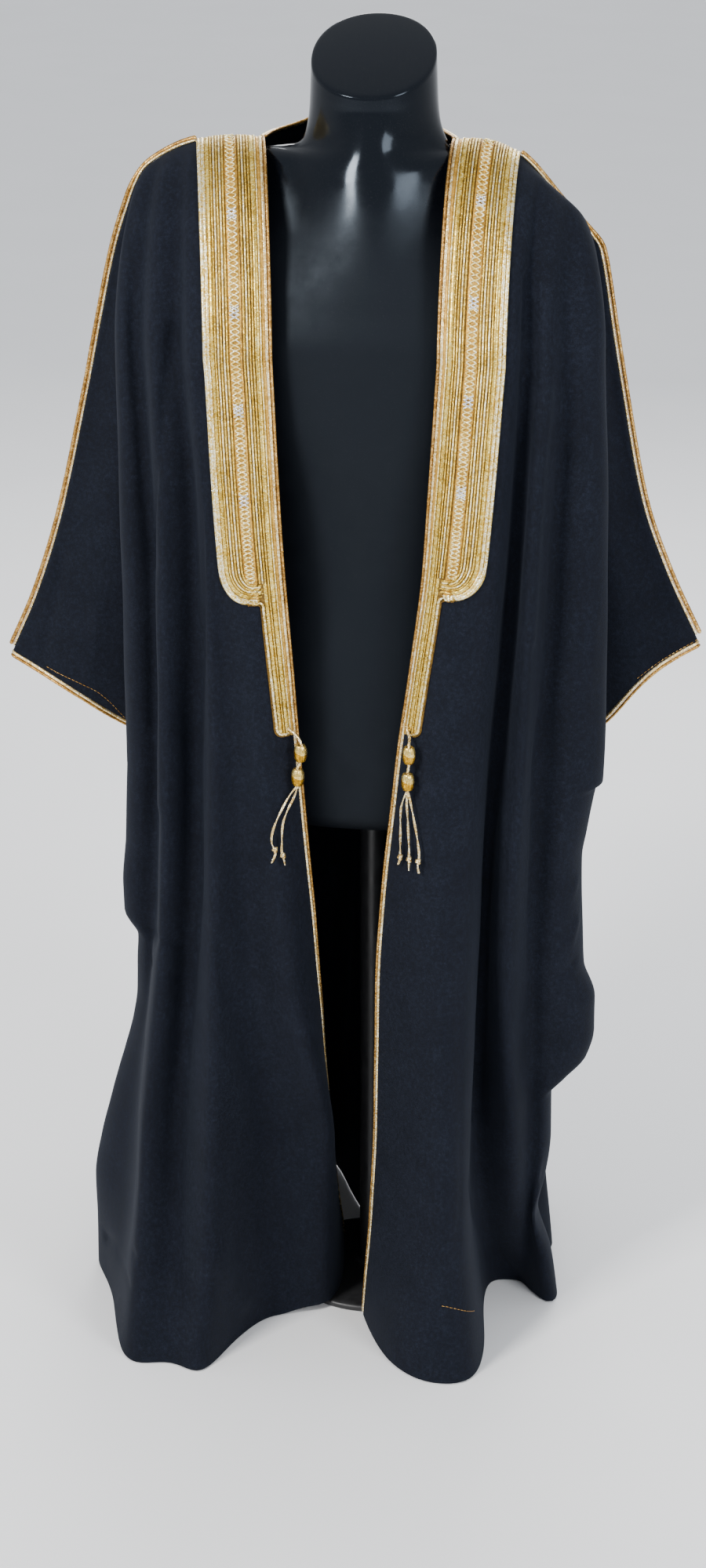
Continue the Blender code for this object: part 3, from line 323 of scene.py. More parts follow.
def fold_point(row, top, v, shape):
    """A fold line's point: rolled over the shoulder down to the chest, then as its table has it."""
    if v >= 1:
        z = height_of(v)
        return np.array([*line_at(row, z), z])
    return roll(top, np.array([*line_at(row, CHEST), CHEST]), v, shape)


def seam_at(side, v, which):
    if v >= 1:
        return seam_point(side, height_of(v), which)
    top = SEAM[side][0][0] * MM
    z = top + (CHEST - top) * (1 - math.cos(v * math.pi / 2) ** ROLL_SHAPE)
    return seam_point(side, z, which)


def slipped(side, share, start, end):
    back, down = SLIPPED[side][:2]
    return smooth_step((share - start) / (end - start))[:, None] * np.array([0, back, -down]) * MM


def seam_line(side, shares):
    """Points at these shares of a front's top edge, on the shoulder seam."""
    share = np.asarray(shares) * SHOULDER_END
    return along_line(SHOULDER[side], share) + slipped(side, share, *SLIPPED[side][2:4])


def crest_line(side, shares):
    """The same points on the crest of the shoulder, which meets the seam at its end."""
    share = np.asarray(shares) * SHOULDER_END
    return along_line(SHOULDER[side], share) + slipped(side, share, SLIPPED[side][4], SHOULDER_END)


def front_folds(side, v):
    """The fold lines start on the seam, and just below it pass over the crest."""
    points = []
    on_seam = max(1 - v / CREST_ROW, 0)
    for name, row in FRONT[side].items():
        crest, seam = crest_line(side, [row[0]])[0], seam_line(side, [row[0]])[0]
        top = crest + (seam - crest) * on_seam - [0, SEAM_GAP / 2, 0]
        point = fold_point(row, top, v, ROLL_SHAPE)
        if v >= 1:
            point[0] += outline_shift(side, name, line_at(FRONT[side]["tube"], point[2])[0], point[2])
        points.append(point)
    points.append(seam_at(side, v, "front"))
    return np.array(points)


def back_top_line():
    """The top edge of the back: the left shoulder, the neck and the right shoulder."""
    left = seam_line("left", np.linspace(1, 0, 25))
    neck = along_line(NECK, np.linspace(0, 1, 25)[1:-1])
    right = seam_line("right", np.linspace(0, 1, 25))
    return np.vstack([left, neck, right]) + [0, SEAM_GAP / 2, 0]


def back_folds(v):
    line = back_top_line()
    lengths = arc_lengths(line)
    points = [seam_at("left", v, "back")]
    for row in BACK.values():
        top = pchip(lengths, line, np.array([row[0] * lengths[-1]]))[0]
        nape = smooth_step((0.125 - abs(top[0] + 0.015)) / 0.06)
        shape = ROLL_SHAPE + (NAPE_SHAPE - ROLL_SHAPE) * nape
        points.append(fold_point(row, top, v, shape))
    points.append(seam_at("right", v, "back"))
    return np.array(points)


def knots_of(folds):
    """The same places for the folds in every section, from their mean spacing."""
    sections = [folds(v) for v in (1.0, 1.6, 2.0, 2.6, 3.0)]
    gaps = np.mean([np.linalg.norm(np.diff(points, axis=0), axis=1) for points in sections], axis=0)
    knots = np.concatenate([[0], np.cumsum(gaps)])
    return knots / knots[-1]


FRONT_KNOTS = {side: knots_of(partial(front_folds, side)) for side in FLIP}
BACK_KNOTS = knots_of(back_folds)
BACK_SHARES = [0, *(row[0] for row in BACK.values()), 1]


def clamp(points, knots, at_start, heading):
    """The slope that makes the spline leave or meet its end along the heading."""
    chord = points[1] - points[0] if at_start else points[-1] - points[-2]
    step = knots[1] - knots[0] if at_start else knots[-1] - knots[-2]
    return heading * np.linalg.norm(chord) / step * 1.1


def front_section(side, v, u):
    """Above the chest the section is eased so that its top edge keeps exactly to the shoulder line."""
    points, knots = front_folds(side, v), FRONT_KNOTS[side]
    end = clamp(points, knots, False, seam_heading(side, points[-1][2], "front"))
    place = cubic(knots, points, u, None, end)
    if v >= 1:
        return place
    shares = np.interp(u, knots, [*(row[0] for row in FRONT[side].values()), 1])
    line = seam_line(side, shares) - [0, SEAM_GAP / 2, 0]
    return place + (line - cubic(knots, front_folds(side, 0.0), u, None, end)) * (1 - v) ** 3


def back_section(v, u):
    """As front_section, with the top edge on both shoulders and the neck."""
    points, knots = back_folds(v), BACK_KNOTS
    start = clamp(points, knots, True, seam_heading("left", points[0][2], "back"))
    end = clamp(points, knots, False, -seam_heading("right", points[-1][2], "back"))
    place = cubic(knots, points, u, start, end)
    if v >= 1:
        return place
    line = back_top_line()
    lengths = arc_lengths(line)
    shares = np.interp(u, knots, BACK_SHARES)
    top = cubic(knots, back_folds(0.0), u, start, end)
    return place + (pchip(lengths, line, shares * lengths[-1]) - top) * (1 - v) ** 3


def neck_end(side):
    return np.array(SHOULDER[side][0]) * MM + [0, SEAM_GAP / 2, 0]


def sleeve_top(side, rows):
    """The sleeve's top fold beside each of the seam's rows, the way out from it, and its share of the length."""
    seam = arc_lengths(np.array([seam_at(side, v, "front") for v in rows]))
    share = seam / seam[-1]
    points = along_line(SLEEVE_TOP[side], share * 0.997 + 0.003)
    after = along_line(SLEEVE_TOP[side], np.minimum(share * 0.997 + 0.013, 1))
    before = along_line(SLEEVE_TOP[side], np.maximum(share * 0.997 - 0.007, 0))
    along = unit(after - before)
    out = np.stack([along[:, 2], np.zeros(len(rows)), -along[:, 0]], axis=1) * FLIP[side]
    return points, unit(out), share


def v_at(z):
    return float(np.interp(-z, (-CHEST, -UNDERARM, -HEM), (1, 2, 3)))


def beside_edge(edge, near):
    """Unit vectors from the edge out of the sheet, square to the edge."""
    along = unit(np.gradient(edge, axis=0))
    out = edge - near
    return unit(out - along * np.sum(out * along, axis=1, keepdims=True))


def circle(count):
    """The angles of points round a circle."""
    return np.arange(count) / count * 2 * math.pi


def torso_ring(row, tilt=0.0):
    """The throat stands out in the middle of the front, and the neck leans a little to the left."""
    z, half_width, depth, middle = (value * MM for value in row[:4])
    turn = circle(TORSO_SIDES)
    across, before, rise = np.cos(turn), np.sin(turn) < -1e-6, abs(np.sin(turn))
    power = np.where(before, row[5], row[4])
    x = half_width * np.sign(across) * abs(across) ** (2 / np.where(before, np.maximum(power, 2), power))
    y = np.where(before, -1, 1) * depth * rise ** (2 / power)
    y = y - before * row[6] * MM * rise * np.clip(1 - (x / THROAT) ** 2, 0, 1) ** 2
    lean = NECK_LEAN * smooth_step((z - NECK_FROM) / (40 * MM))
    return np.stack([x + lean, y + middle, z + y * tilt], axis=1)


# ---- Fine sheets

SHELL = 1.2 * MM
# How many columns from a sewn edge the creases fade over, and the rows that are eased at the crest
SEWN_COLUMNS, CREST = 5, (1, 14)
# The rows between the sleeve's seam and its tip on the shoulder
SLEEVE_WEDGE = (0.06, 0.3, 0.55, 0.8)
FRONT_ROWS = np.unique(np.concatenate([np.linspace(0, 1, 65), np.linspace(1, 2, 95), np.linspace(2, 3, 131)]))
BACK_ROWS = np.unique(np.concatenate([np.linspace(0, 1, 61), np.linspace(1, 2, 81), np.linspace(2, 3, 111)]))
FRONT_COLUMNS, BACK_COLUMNS, SLEEVE_COLUMNS = 116, 146, 84
# The cloth under a band: the step and the number of its columns, and how low it reaches
RAIL_STEP, RAIL_COLUMNS, BAND_LOW = 3.0 * MM, 23, 0.70

# Creases of the cloth that are finer than the folds: depth in mm (below 0 a ridge), half width in mm, and the points
# of the line, either as x, y, z in mm or as shares of the row and of the piece's height
CREASES = {
    "front_left": (
        (5, 13, (-161, -130, 1099), (-158, -145, 965), (-168, -135, 820), (-178, -121, 698), (-173, -135, 536),
         (-187, -139, 419), (-198, -151, 279), (-201, -169, 176), (-201, -191, 103)),
        (3.5, 14, (-144, -177, 505), (-129, -162, 401), (-110, -135, 276), (-102, -127, 245)),
        (1.3, 4, (-58, -140, 539), (-68, -146, 396), (-75, -118, 212), (-85, -117, 93)),
        (2.4, 6, (-235, -85, 465), (-203, -149, 486), (-186, -136, 471)),
        (2.0, 5, (-232, -90, 430), (-206, -145, 444), (-192, -140, 436)),
        (3.0, 7, (-304, -64, 56), (-245, -189, 115), (-205, -190, 107)),
        (2.0, 6, (-285, -110, 62), (-240, -195, 78), (-212, -200, 74)),
        (4.0, 9, (-189, -99, 1141), (-204, -117, 1020), (-218, -89, 899)),
        (3.0, 6, (-240, -47, 1237), (-236, -77, 1139), (-230, -84, 1018), (-221, -87, 852), (-223, -87, 711)),
        (-3.5, 14, (-151, -208, 129), (-127, -160, 41)),
        (-2.5, 10, (-215, -125, 880), (-208, -140, 760), (-212, -135, 640)),
        (2.2, 8, (-240, -100, 330), (-232, -140, 250), (-236, -160, 190)),
    ),
    "front_right": (
        (4.0, 10, (159, -90, 1195), (166, -105, 1115), (163, -110, 1009), (159, -112, 922), (155, -113, 832),
         (146, -109, 710), (134, -97, 546), (131, -92, 381), (123, -85, 264)),
        (3.0, 9, (124, -149, 216), (141, -40, 63), (171, -19, 9)),
        (-3.0, 10, (184, -112, 1096), (175, -125, 971), (175, -133, 840)),
        (3.5, 8, (201, -92, 1027), (196, -97, 918), (191, -97, 781), (184, -105, 700), (182, -96, 522),
         (192, -80, 295), (199, -63, 170)),
        (-2.0, 8, (236, -94, 851), (230, -98, 737)),
        (1.2, 4, (108, -152, 880), (107, -160, 776), (110, -169, 526), (115, -178, 316), (117, -186, 210),
         (111, -208, 109), (88, -218, 50)),
        (-2.0, 6, (232, -80, 548), (228, -86, 538)),
        (-2.0, 6, (230, -78, 500), (222, -86, 478)),
        (1.8, 5, (226, -82, 455), (214, -92, 440), (206, -92, 436)),
        (1.8, 6, (221, -86, 400), (212, -92, 372), (207, -84, 350)),
    ),
    "sleeve_left": (
        (1.6, 6, (-292, 10, 1060), (-280, 12, 1048), (-262, 14, 1044)),
        (2.0, 6, (-331, 25, 909), (-312, 15, 902), (-288, 10, 904)),
        (2.0, 7, (-341, 22, 857), (-351, 18, 806), (-366, 18, 750)),
        (-1.6, 8, (-300, 10, 800), (-310, 12, 745), (-318, 14, 715)),
    ),
    "sleeve_right": (
        (1.8, 6, (290, 10, 905), (272, 8, 896), (252, 10, 902)),
        (1.8, 7, (325, 16, 815), (300, 10, 822), (276, 8, 840)),
        (-1.5, 8, (300, 10, 780), (284, 8, 800), (262, 8, 812)),
    ),
    "back": (
        (3.5, 12, (0.16, 0.18), (0.15, 0.34), (0.17, 0.52), (0.16, 0.66)),
        (3.0, 10, (0.33, 0.3), (0.32, 0.47), (0.335, 0.63), (0.33, 0.78)),
        (2.5, 9, (0.245, 0.14), (0.25, 0.26), (0.235, 0.38)),
        (-2.5, 14, (0.41, 0.22), (0.42, 0.42), (0.41, 0.6)),
        (4.0, 12, (0.5, 0.26), (0.51, 0.46), (0.5, 0.7), (0.49, 0.88)),
        (2.2, 7, (0.565, 0.48), (0.58, 0.62), (0.57, 0.74)),
        (3.0, 11, (0.66, 0.2), (0.67, 0.4), (0.665, 0.58), (0.68, 0.76)),
        (-2.2, 12, (0.75, 0.3), (0.745, 0.5), (0.76, 0.72)),
        (3.2, 10, (0.83, 0.16), (0.84, 0.36), (0.83, 0.6)),
        (1.8, 6, (0.4, 0.1), (0.47, 0.13), (0.53, 0.125), (0.6, 0.1)),
        (1.5, 6, (0.43, 0.16), (0.49, 0.185), (0.56, 0.17)),
        (2.0, 7, (0.1, 0.8), (0.13, 0.86), (0.12, 0.95)),
        (2.0, 7, (0.9, 0.76), (0.875, 0.86), (0.89, 0.94)),
    ),
}


def grid_normals(points, flip):
    across, down = np.gradient(points, axis=1), np.gradient(points, axis=0)
    return unit(np.cross(across, down)) * flip


def eased(points, first, last, passes):
    """The rows between first and last drawn towards the mean of the rows beside them."""
    points = points.copy()
    for _ in range(passes):
        middle = (points[first - 1 : last - 1] + 2 * points[first:last] + points[first + 1 : last + 1]) / 4
        points[first:last] = middle
    return points


def line_distance(points, line):
    """The distance from each point to the nearest part of a line."""
    best = np.full(len(points), np.inf)
    for a, b in zip(line[:-1], line[1:]):
        step = b - a
        share = np.clip((points - a) @ step / (step @ step), 0, 1)
        best = np.minimum(best, np.linalg.norm(points - a - share[:, None] * step, axis=1))
    return best


def creased(name, points, normals):
    """The sheet with its creases pressed in, and a slow unevenness all over."""
    rows, columns = points.shape[:2]
    flat = points.reshape(-1, 3)
    depth = np.zeros(len(flat))
    for deep, width, *line in CREASES[name]:
        line = np.array(line, float)
        if line.shape[1] == 3:
            line = line * MM
        else:
            place = (line * [columns - 1, rows - 1]).round().astype(int)
            line = points[place[:, 1], place[:, 0]]
        knots = arc_lengths(line)
        if len(line) > 2:
            line = pchip(knots, line, np.linspace(0, knots[-1], max(8, int(knots[-1] / (20 * MM)))))
        depth += deep * np.exp(-((line_distance(flat, line) / (width * MM)) ** 2))
    x, y, z = flat.T / MM
    slow = np.sin(x / 23 + z / 61) * np.sin(z / 37 - y / 29)
    slow = slow + 0.6 * np.sin(x / 11 - z / 83 + 1) * np.sin(z / 53 + y / 17)
    sewn = np.arange(columns)[::-1]
    if not name.startswith("front"):
        sewn = np.minimum(sewn, sewn[::-1])
    depth = (depth + 0.45 * slow).reshape(rows, columns) * np.clip(sewn / SEWN_COLUMNS, 0, 1)
    return points - normals * depth[..., None] * MM


def fine_grid(section, rows, columns, step=None):
    """Points along each row's section: this far apart from its start, or even over its whole length."""
    fine = np.linspace(0, 1, 700)
    points = []
    for v in rows:
        lengths = arc_lengths(section(v, fine))
        places = np.arange(columns) * step if step else np.linspace(0, lengths[-1], columns)
        points.append(section(v, np.interp(places, lengths, fine)))
    return np.array(points)


def lifted_hem(side, points, rows):
    """The hem passes over the stand's base."""
    near = np.hypot(points[..., 0], points[..., 1])
    low = np.clip((np.array(rows) - (3 - 1 / 9)) * 9, 0, 1)[:, None]
    points[..., 2] += OVER_BASE[side] * smooth_step((BASE_RADIUS + 52 * MM - near) / (30 * MM)) * low
    return points


def front_grid(side):
    """The middle surface of a front, in rows from the shoulder to the hem."""
    points = fine_grid(partial(front_section, side), FRONT_ROWS, FRONT_COLUMNS)
    points = eased(lifted_hem(side, points, FRONT_ROWS), *CREST, 10)
    return creased(f"front_{side}", points, grid_normals(points, FLIP[side]))


def back_grid():
    points = eased(fine_grid(back_section, BACK_ROWS, BACK_COLUMNS), 1, 6, 3)
    return creased("back", points, grid_normals(points, 1))


def sleeve_rows(side):
    return np.concatenate([np.linspace(SLEEVE_START, 1, 40)[:-1], np.linspace(1, SLEEVE_END[side], 72)])


def sleeve_section(side, v, top, out, share):
    """Front layer, round top fold and back layer at one row, as in the part's source."""
    start, finish = seam_at(side, v, "front"), seam_at(side, v, "back")
    radius = min(SLEEVE_FOLD, 0.4 * np.dot(top - (start + finish) / 2, out))
    backward = np.array([0.0, 1.0, 0.0])
    halves = []
    for sign, end in ((-1, start), (1, finish)):
        apart = min(radius, 0.75 * abs(end[1] - top[1]))
        near = top - out * radius + backward * sign * apart
        outer = top - out * radius * 0.29 + backward * sign * apart * 0.71
        middle = end + (near - end) * 0.5 + [0, sign * SLEEVE_BULGE * share, CUFF_RISE[side] * share**3]
        halves.append([end, middle, near, outer])
    line = np.array([*halves[0], top, *halves[1][::-1]])
    knots = arc_lengths(line)
    place = knots / knots[-1]
    first = clamp(line, place, True, seam_heading(side, start[2], "front"))
    last = clamp(line, place, False, seam_heading(side, finish[2], "back"))
    inset = SEAM_GAP / 2 / knots[-1]
    even = np.linspace(0, 1, 600)
    lengths = arc_lengths(cubic(place, line, inset + even * (1 - 2 * inset), first, last))
    # The columns stand closer together round the top fold
    turn = np.exp(-(((even - np.interp(knots[4], lengths, even)) * 8) ** 2))
    density = np.concatenate([[0], np.cumsum((1 + 1.5 * turn[1:]) * np.diff(lengths))])
    u = np.interp(np.linspace(0, density[-1], SLEEVE_COLUMNS), density, even)
    return cubic(place, line, inset + u * (1 - 2 * inset), first, last)


def sleeve_grid(side):
    """The middle surface of a sleeve, in rows from the tip of the shoulder to the cuff."""
    rows = sleeve_rows(side)
    points = np.array([sleeve_section(side, *row) for row in zip(rows, *sleeve_top(side, rows))])
    apex = seam_line(side, np.array([1.0]))[0]
    points = np.vstack([[apex + (points[0] - apex) * share for share in SLEEVE_WEDGE], points])
    return creased(f"sleeve_{side}", points, grid_normals(points, FLIP[side]))


# ---- Meshes


def placed(name, data, place, turn=(0, 0, 0)):
    """A new object in the scene."""
    obj = bpy.data.objects.new(name, data)
    obj.location, obj.rotation_euler = place, turn
    bpy.context.scene.collection.objects.link(obj)
    return obj


class Pile:
    """Quads gathered into one mesh: points, a material number for each quad and a thread map for each corner.

    The map's first number runs along the thread, in metres, and the second across it, in turns or, on a tape, metres.
    """

    def __init__(self):
        self.points, self.quads, self.slots, self.maps, self.count = [], [], [], [], 0

    def grid(self, points, along, across, slot=0, closed=False, flip=False):
        rows, columns = points.shape[:2]
        index = np.arange(rows * columns).reshape(rows, columns) + self.count
        if closed:
            index = np.hstack([index, index[:, :1]])
        along, across = np.broadcast_to(along, index.shape), np.broadcast_to(across, index.shape)
        near, far = slice(None, -1), slice(1, None)
        corners = [(near, near), (far, near), (far, far), (near, far)][:: -1 if flip else 1]
        self.quads.append(np.stack([index[c] for c in corners], axis=-1).reshape(-1, 4))
        self.maps.append(np.stack([np.stack([along[c], across[c]], axis=-1) for c in corners], axis=-2).reshape(-1, 2))
        self.slots.append(np.full(len(self.quads[-1]), slot))
        self.points.append(points.reshape(-1, 3))
        self.count += rows * columns

    def build(self, name, materials, nodes):
        """The mesh as a piece that rides the root and replaces the nodes."""
        points, quads = np.vstack(self.points), np.vstack(self.quads)
        mesh = bpy.data.meshes.new(name)
        mesh.vertices.add(len(points))
        mesh.vertices.foreach_set("co", points.ravel())
        mesh.loops.add(quads.size)
        mesh.loops.foreach_set("vertex_index", quads.ravel().astype(np.int32))
        mesh.polygons.add(len(quads))
        mesh.polygons.foreach_set("loop_start", np.arange(0, quads.size, 4, dtype=np.int32))
        for material in materials:
            mesh.materials.append(material)
        mesh.polygons.foreach_set("material_index", np.concatenate(self.slots).astype(np.int32))
        mesh.polygons.foreach_set("use_smooth", np.full(len(quads), True))
        mesh.uv_layers.new(name="Thread").data.foreach_set("uv", np.vstack(self.maps).ravel())
        mesh.update(calc_edges=True)
        mesh.validate()
        obj = placed(name, mesh, (0, 0, 0))
        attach(obj, "root")
        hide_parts(*nodes)
        return obj


def cloth_piece(name, points, flip, materials):
    """A thin wall about the middle surface: outer face, inner face and rim."""
    normals = grid_normals(points, flip)
    outer, inner = points + normals * SHELL / 2, points - normals * SHELL / 2
    down, across = arc_lengths(points, 0), arc_lengths(points, 1)
    pile = Pile()
    pile.grid(outer, down, across, flip=flip < 0)
    pile.grid(inner, down, across, flip=flip > 0)
    for number, part in enumerate(((0, slice(None)), (-1, slice(None)), (slice(None), 0), (slice(None), -1))):
        rim = np.stack([outer[part], inner[part]], axis=0)
        turned_over = (number in (0, 3)) == (flip > 0)
        pile.grid(rim, np.array([[0.0], [SHELL]]), arc_lengths(outer[part]), flip=not turned_over)
    return pile.build(f"cloth_{name}", materials, [name])


def frames(path, start=None):
    """Unit vectors sideways and up for each point of a path, with as little twist as can be."""
    along = unit(np.gradient(path, axis=0))
    if start is not None:
        sides = unit(start - along * np.sum(start * along, axis=1, keepdims=True))
        return sides, np.cross(along, sides)
    side = np.cross(along[0], [0.3, 0.2, 1.0] if abs(along[0][2]) < 0.9 else [1.0, 0.2, 0.1])
    sides = []
    for heading in along:
        side = side - heading * np.dot(side, heading)
        side = side / max(np.linalg.norm(side), 1e-9)
        sides.append(side)
    return np.array(sides), np.cross(along, sides)


def even_path(points, step):
    """A smooth line through the points, with points this far apart."""
    points = np.array(points, float)
    knots = arc_lengths(points)
    keep = np.concatenate([[True], np.diff(knots) > 1e-6])
    points, knots = points[keep], knots[keep]
    count = max(3, int(round(knots[-1] / step)) + 1)
    return cubic(knots, points, np.linspace(0, knots[-1], count))


def round_ends(lengths, radius):
    """Shares of the radius along a bar, so that its ends are round."""
    near = np.minimum(lengths, lengths[-1] - lengths) / radius
    return np.sqrt(np.clip(1 - (1 - np.minimum(near, 1)) ** 2, 0.0004, 1))


def thread(pile, path, radius, sides, slot, side=None, lobes=1.0, twist=0.0, flat=1.0, ends=True):
    """A bar along a path. lobes is the radius at each of its sides, twist its turns for each metre."""
    path = np.array(path)
    if ends:
        first, last = path[0] - path[1], path[-1] - path[-2]
        near = np.array([0.0, 0.12, 0.4]) * radius
        path = np.vstack([path[0] + unit(first) * (radius - near)[:, None], path,
                          (path[-1] + unit(last) * (radius - near)[:, None])[::-1]])
        if side is not None:
            side = np.vstack([side[:1]] * 3 + [side] + [side[-1:]] * 3)
    lengths = arc_lengths(path)
    sides_at, ups = frames(path, side)
    size = round_ends(lengths, radius) if ends else np.ones(len(path))
    angle = circle(sides) + twist * 2 * math.pi * lengths[:, None]
    reach = radius * size[:, None] * (lobes * np.ones(sides))
    points = (path[:, None] + (np.cos(angle) * reach)[..., None] * sides_at[:, None]
              + (np.sin(angle) * reach * flat)[..., None] * ups[:, None])
    pile.grid(points, lengths[:, None], np.arange(sides + 1) / sides, slot, closed=True, flip=True)


class Rail:
    """The cloth under a front's band: a place for each length down from the shoulder and distance from the edge."""

    def __init__(self, side):
        self.turned = FLIP[side] < 0
        rows = FRONT_ROWS[FRONT_ROWS <= v_at(BAND_LOW)]
        front = eased(fine_grid(partial(front_section, side), rows, RAIL_COLUMNS, RAIL_STEP), *CREST, 10)
        line = back_top_line()
        lengths = arc_lengths(line)
        corner = lengths[np.argmin(np.linalg.norm(line - neck_end(side), axis=1))]
        marks = (corner - FLIP[side] * (np.arange(RAIL_COLUMNS) * RAIL_STEP)) / lengths[-1]
        u = np.interp(marks, BACK_SHARES, BACK_KNOTS)
        behind = np.array([back_section(v, u) for v in np.linspace(0, 0.2, 21)])
        over = np.array([
            [pchip(arc_lengths(column), column, np.array([far]))[0] for column in behind.transpose(1, 0, 2)]
            for far in np.array([12, 9, 6, 3]) * MM
        ])
        front[0] = (front[0] + behind[0]) / 2
        points = eased(np.vstack([over, front]), 1, 16, 4)
        self.points = creased(f"front_{side}", points, grid_normals(points, FLIP[side]))
        self.normals = grid_normals(self.points, FLIP[side])
        middle = self.points[:, 10]
        self.lengths = arc_lengths(middle) - arc_lengths(middle)[len(over)]
        self.heights = middle[:, 2]

    def down_to(self, z):
        """The length down from the shoulder at a height below it."""
        start = int(np.argmax(self.heights))
        return float(np.interp(-z, -self.heights[start:], self.lengths[start:]))

    def place(self, s, d, h):
        """Points this high above the cloth, at these lengths and distances."""
        s, d, h = np.broadcast_arrays(s, d, h)
        row = np.interp(s, self.lengths, np.arange(len(self.lengths)))
        column = np.clip(d / RAIL_STEP, 0, RAIL_COLUMNS - 1.001)
        i, j = np.minimum(row.astype(int), len(self.lengths) - 2), column.astype(int)
        a, b = (row - i)[..., None], (column - j)[..., None]

        def at(grid):
            return (grid[i, j] * (1 - a) + grid[i + 1, j] * a) * (1 - b) + (
                grid[i, j + 1] * (1 - a) + grid[i + 1, j + 1] * a) * b

        return at(self.points) + unit(at(self.normals)) * (SHELL / 2 + h)[..., None]


# ---- The gold braid

# The threads, in the order of BRAID
GOLD, PALE, ORANGE, HATCH, SILVER, BROWN_AND_SHADE, SPARK = range(7)
# The ground's height above the cloth, and that of a cord's middle in mm
GROUND, LIE = 0.9 * MM, 1.45
# Where the bands start behind the shoulder, how far above the panel's end its inmost cord turns level, and the step
FIRST, LEVEL_DEPTH, CORD_STEP = -12 * MM, 20 * MM, 2.4 * MM
# Distances from the cloak's edge: where the panel starts, the dark ground starts and ends, and the turned cords end.
# The dark ground is brown, partly the braid's own ground and partly painted shade between the cords.
PANEL_FROM, DARK_FROM, DARK_TO, STRIP_TAPE = 22.8 * MM, 35.4 * MM, 50.4 * MM, 18.6 * MM
# Where the strip's orange ground starts, and where it ends and the brown one starts, which is partly painted shade
# between the cords
STRIP_FROM, STRIP_BROWN = 0.2 * MM, 3.4 * MM
# The zigzag's sides and its first and last pitch, and the middle of the knots on it
ZIGZAG, KNOT_MIDDLE = (24.6 * MM, 34.2 * MM, 12.8 * MM, 8.6 * MM), 29.6 * MM
# Straight cords between the edge and the zigzag, and those that turn round the panel's corner: distance from the
# edge and radius in mm, and the thread
STRIP_CORDS = ((4.3, 1.0, PALE), (11.9, 1.18, GOLD), (14.8, 1.18, GOLD), (17.7, 1.18, PALE), (20.6, 1.18, GOLD))
TURNED_CORDS = ((37.1, 1.18, GOLD), (40.0, 1.18, PALE), (42.9, 1.18, GOLD), (45.8, 1.18, PALE), (48.7, 1.18, GOLD))
# The tape and the two ropes outside them: distance from the edge, how far above the panel's end they turn level,
# where they stop, and radius in mm, the thread, height in mm, flatness, and whether the ends are round
TURNED_ROPES = ((52.4, 1.0, 18.6, 2.15, HATCH, 1.2, 0.42, False), (56.7, 0.4, 23.6, 1.9, SPARK, 1.6, 0.72, True),
                (60.7, 1.2, 24.0, 2.0, SPARK, 1.6, 0.72, True))
# The rope and the cord round the tail: how far above the panel's end they come in, from and to what distance, the
# distance that they run down at, how far above the tail's end they close, the radii of their two bends, and their own
# radius in mm, the thread, height in mm and sides
TAIL_ROPES = ((1.2, 30, 24, 19.6, 2.6, 3, 7, 1.6, SPARK, 1.6, 9),
              (-0.8, 34, 26, 21.9, 0.6, 3.4, 8.4, 0.85, BROWN_AND_SHADE, 1.2, 5))
# Heights of the silver knots
KNOT_HEIGHTS = {"left": (1.253, 1.165, 1.070, 0.980), "right": (1.268, 1.180, 1.086, 0.996)}


def quarter(count):
    """The angles of points round a quarter of a circle."""
    return np.radians(np.linspace(0, 90, count))


def turned(distance, end, stop):
    """Lengths and distances of a cord that runs down the panel, round its lower corner and in to the strip."""
    share = (distance - 35 * MM) / (27.9 * MM)
    level = end - LEVEL_DEPTH * (1 - share)
    wide, tall = (8.5 + 18.5 * share) * MM, (15 + 21 * share) * MM
    line = [(s, distance) for s in np.arange(FIRST, level - tall, CORD_STEP)]
    line += [(level - tall + tall * math.sin(a), distance - wide + wide * math.cos(a)) for a in quarter(14)]
    line += [(level, d) for d in np.arange(distance - wide - CORD_STEP, stop, -CORD_STEP)]
    return np.array(line)


def corner_down(line, at, end, turn, corner):
    """A line that comes in level, turns down at a distance from the edge, and closes round the tail's end."""
    level = line[-1][0]
    line = [point for point in line if point[1] > at + turn]
    line += [(level + turn - turn * math.cos(a), at + turn - turn * math.sin(a)) for a in quarter(7)]
    line += [(s, at) for s in np.arange(level + turn + CORD_STEP, end - corner, CORD_STEP)]
    line += [(end - corner + corner * math.sin(a), at - corner + corner * math.cos(a)) for a in quarter(8)]
    line += [(end, d) for d in np.arange(at - corner - CORD_STEP, 4 * MM, -CORD_STEP)]
    return np.array(line)


def straight(distance, last, first=FIRST):
    """Lengths and distances of a cord that runs straight down."""
    s = np.arange(first, last, CORD_STEP)
    return np.stack([s, np.full(len(s), distance)], axis=1)


def lay(pile, rail, line, radius, slot, height=LIE, sides=6, **more):
    """A cord laid on the band along lengths and distances. Its radius and height are in mm."""
    s, d = np.array(line).T
    path = rail.place(s, d, height * MM)
    beside = rail.place(s, d + 0.5 * MM, height * MM) - path
    thread(pile, path, radius * MM, sides, slot, side=beside, **more)


def ribbon(pile, rail, s, inner, outer, height, slot, columns=4):
    """A flat strip between two distances, with edges down to the cloth."""
    inner, outer = np.broadcast_to(inner, s.shape), np.broadcast_to(outer, s.shape)
    share = np.array([0, 0, *np.linspace(0.02, 0.98, columns), 1, 1])
    rise = np.array([0.05, 0.7, *np.full(columns, 1.0), 0.7, 0.05])
    d = inner[:, None] + (outer - inner)[:, None] * share
    pile.grid(rail.place(s[:, None], d, height * rise[None, :]), s[:, None], d, slot, flip=rail.turned)


def rounded_side(outer, end, corner, count):
    """Lengths down a band, and at each the distance of its outer side, with a round lower corner."""
    s = np.concatenate([np.arange(FIRST, end - corner, 3 * MM), end - corner * (1 - np.sin(quarter(count)))])
    low = np.clip((s - (end - corner)) / corner, 0, 1)
    return s, outer - corner * (1 - np.sqrt(np.clip(1 - low**2, 0, 1)))


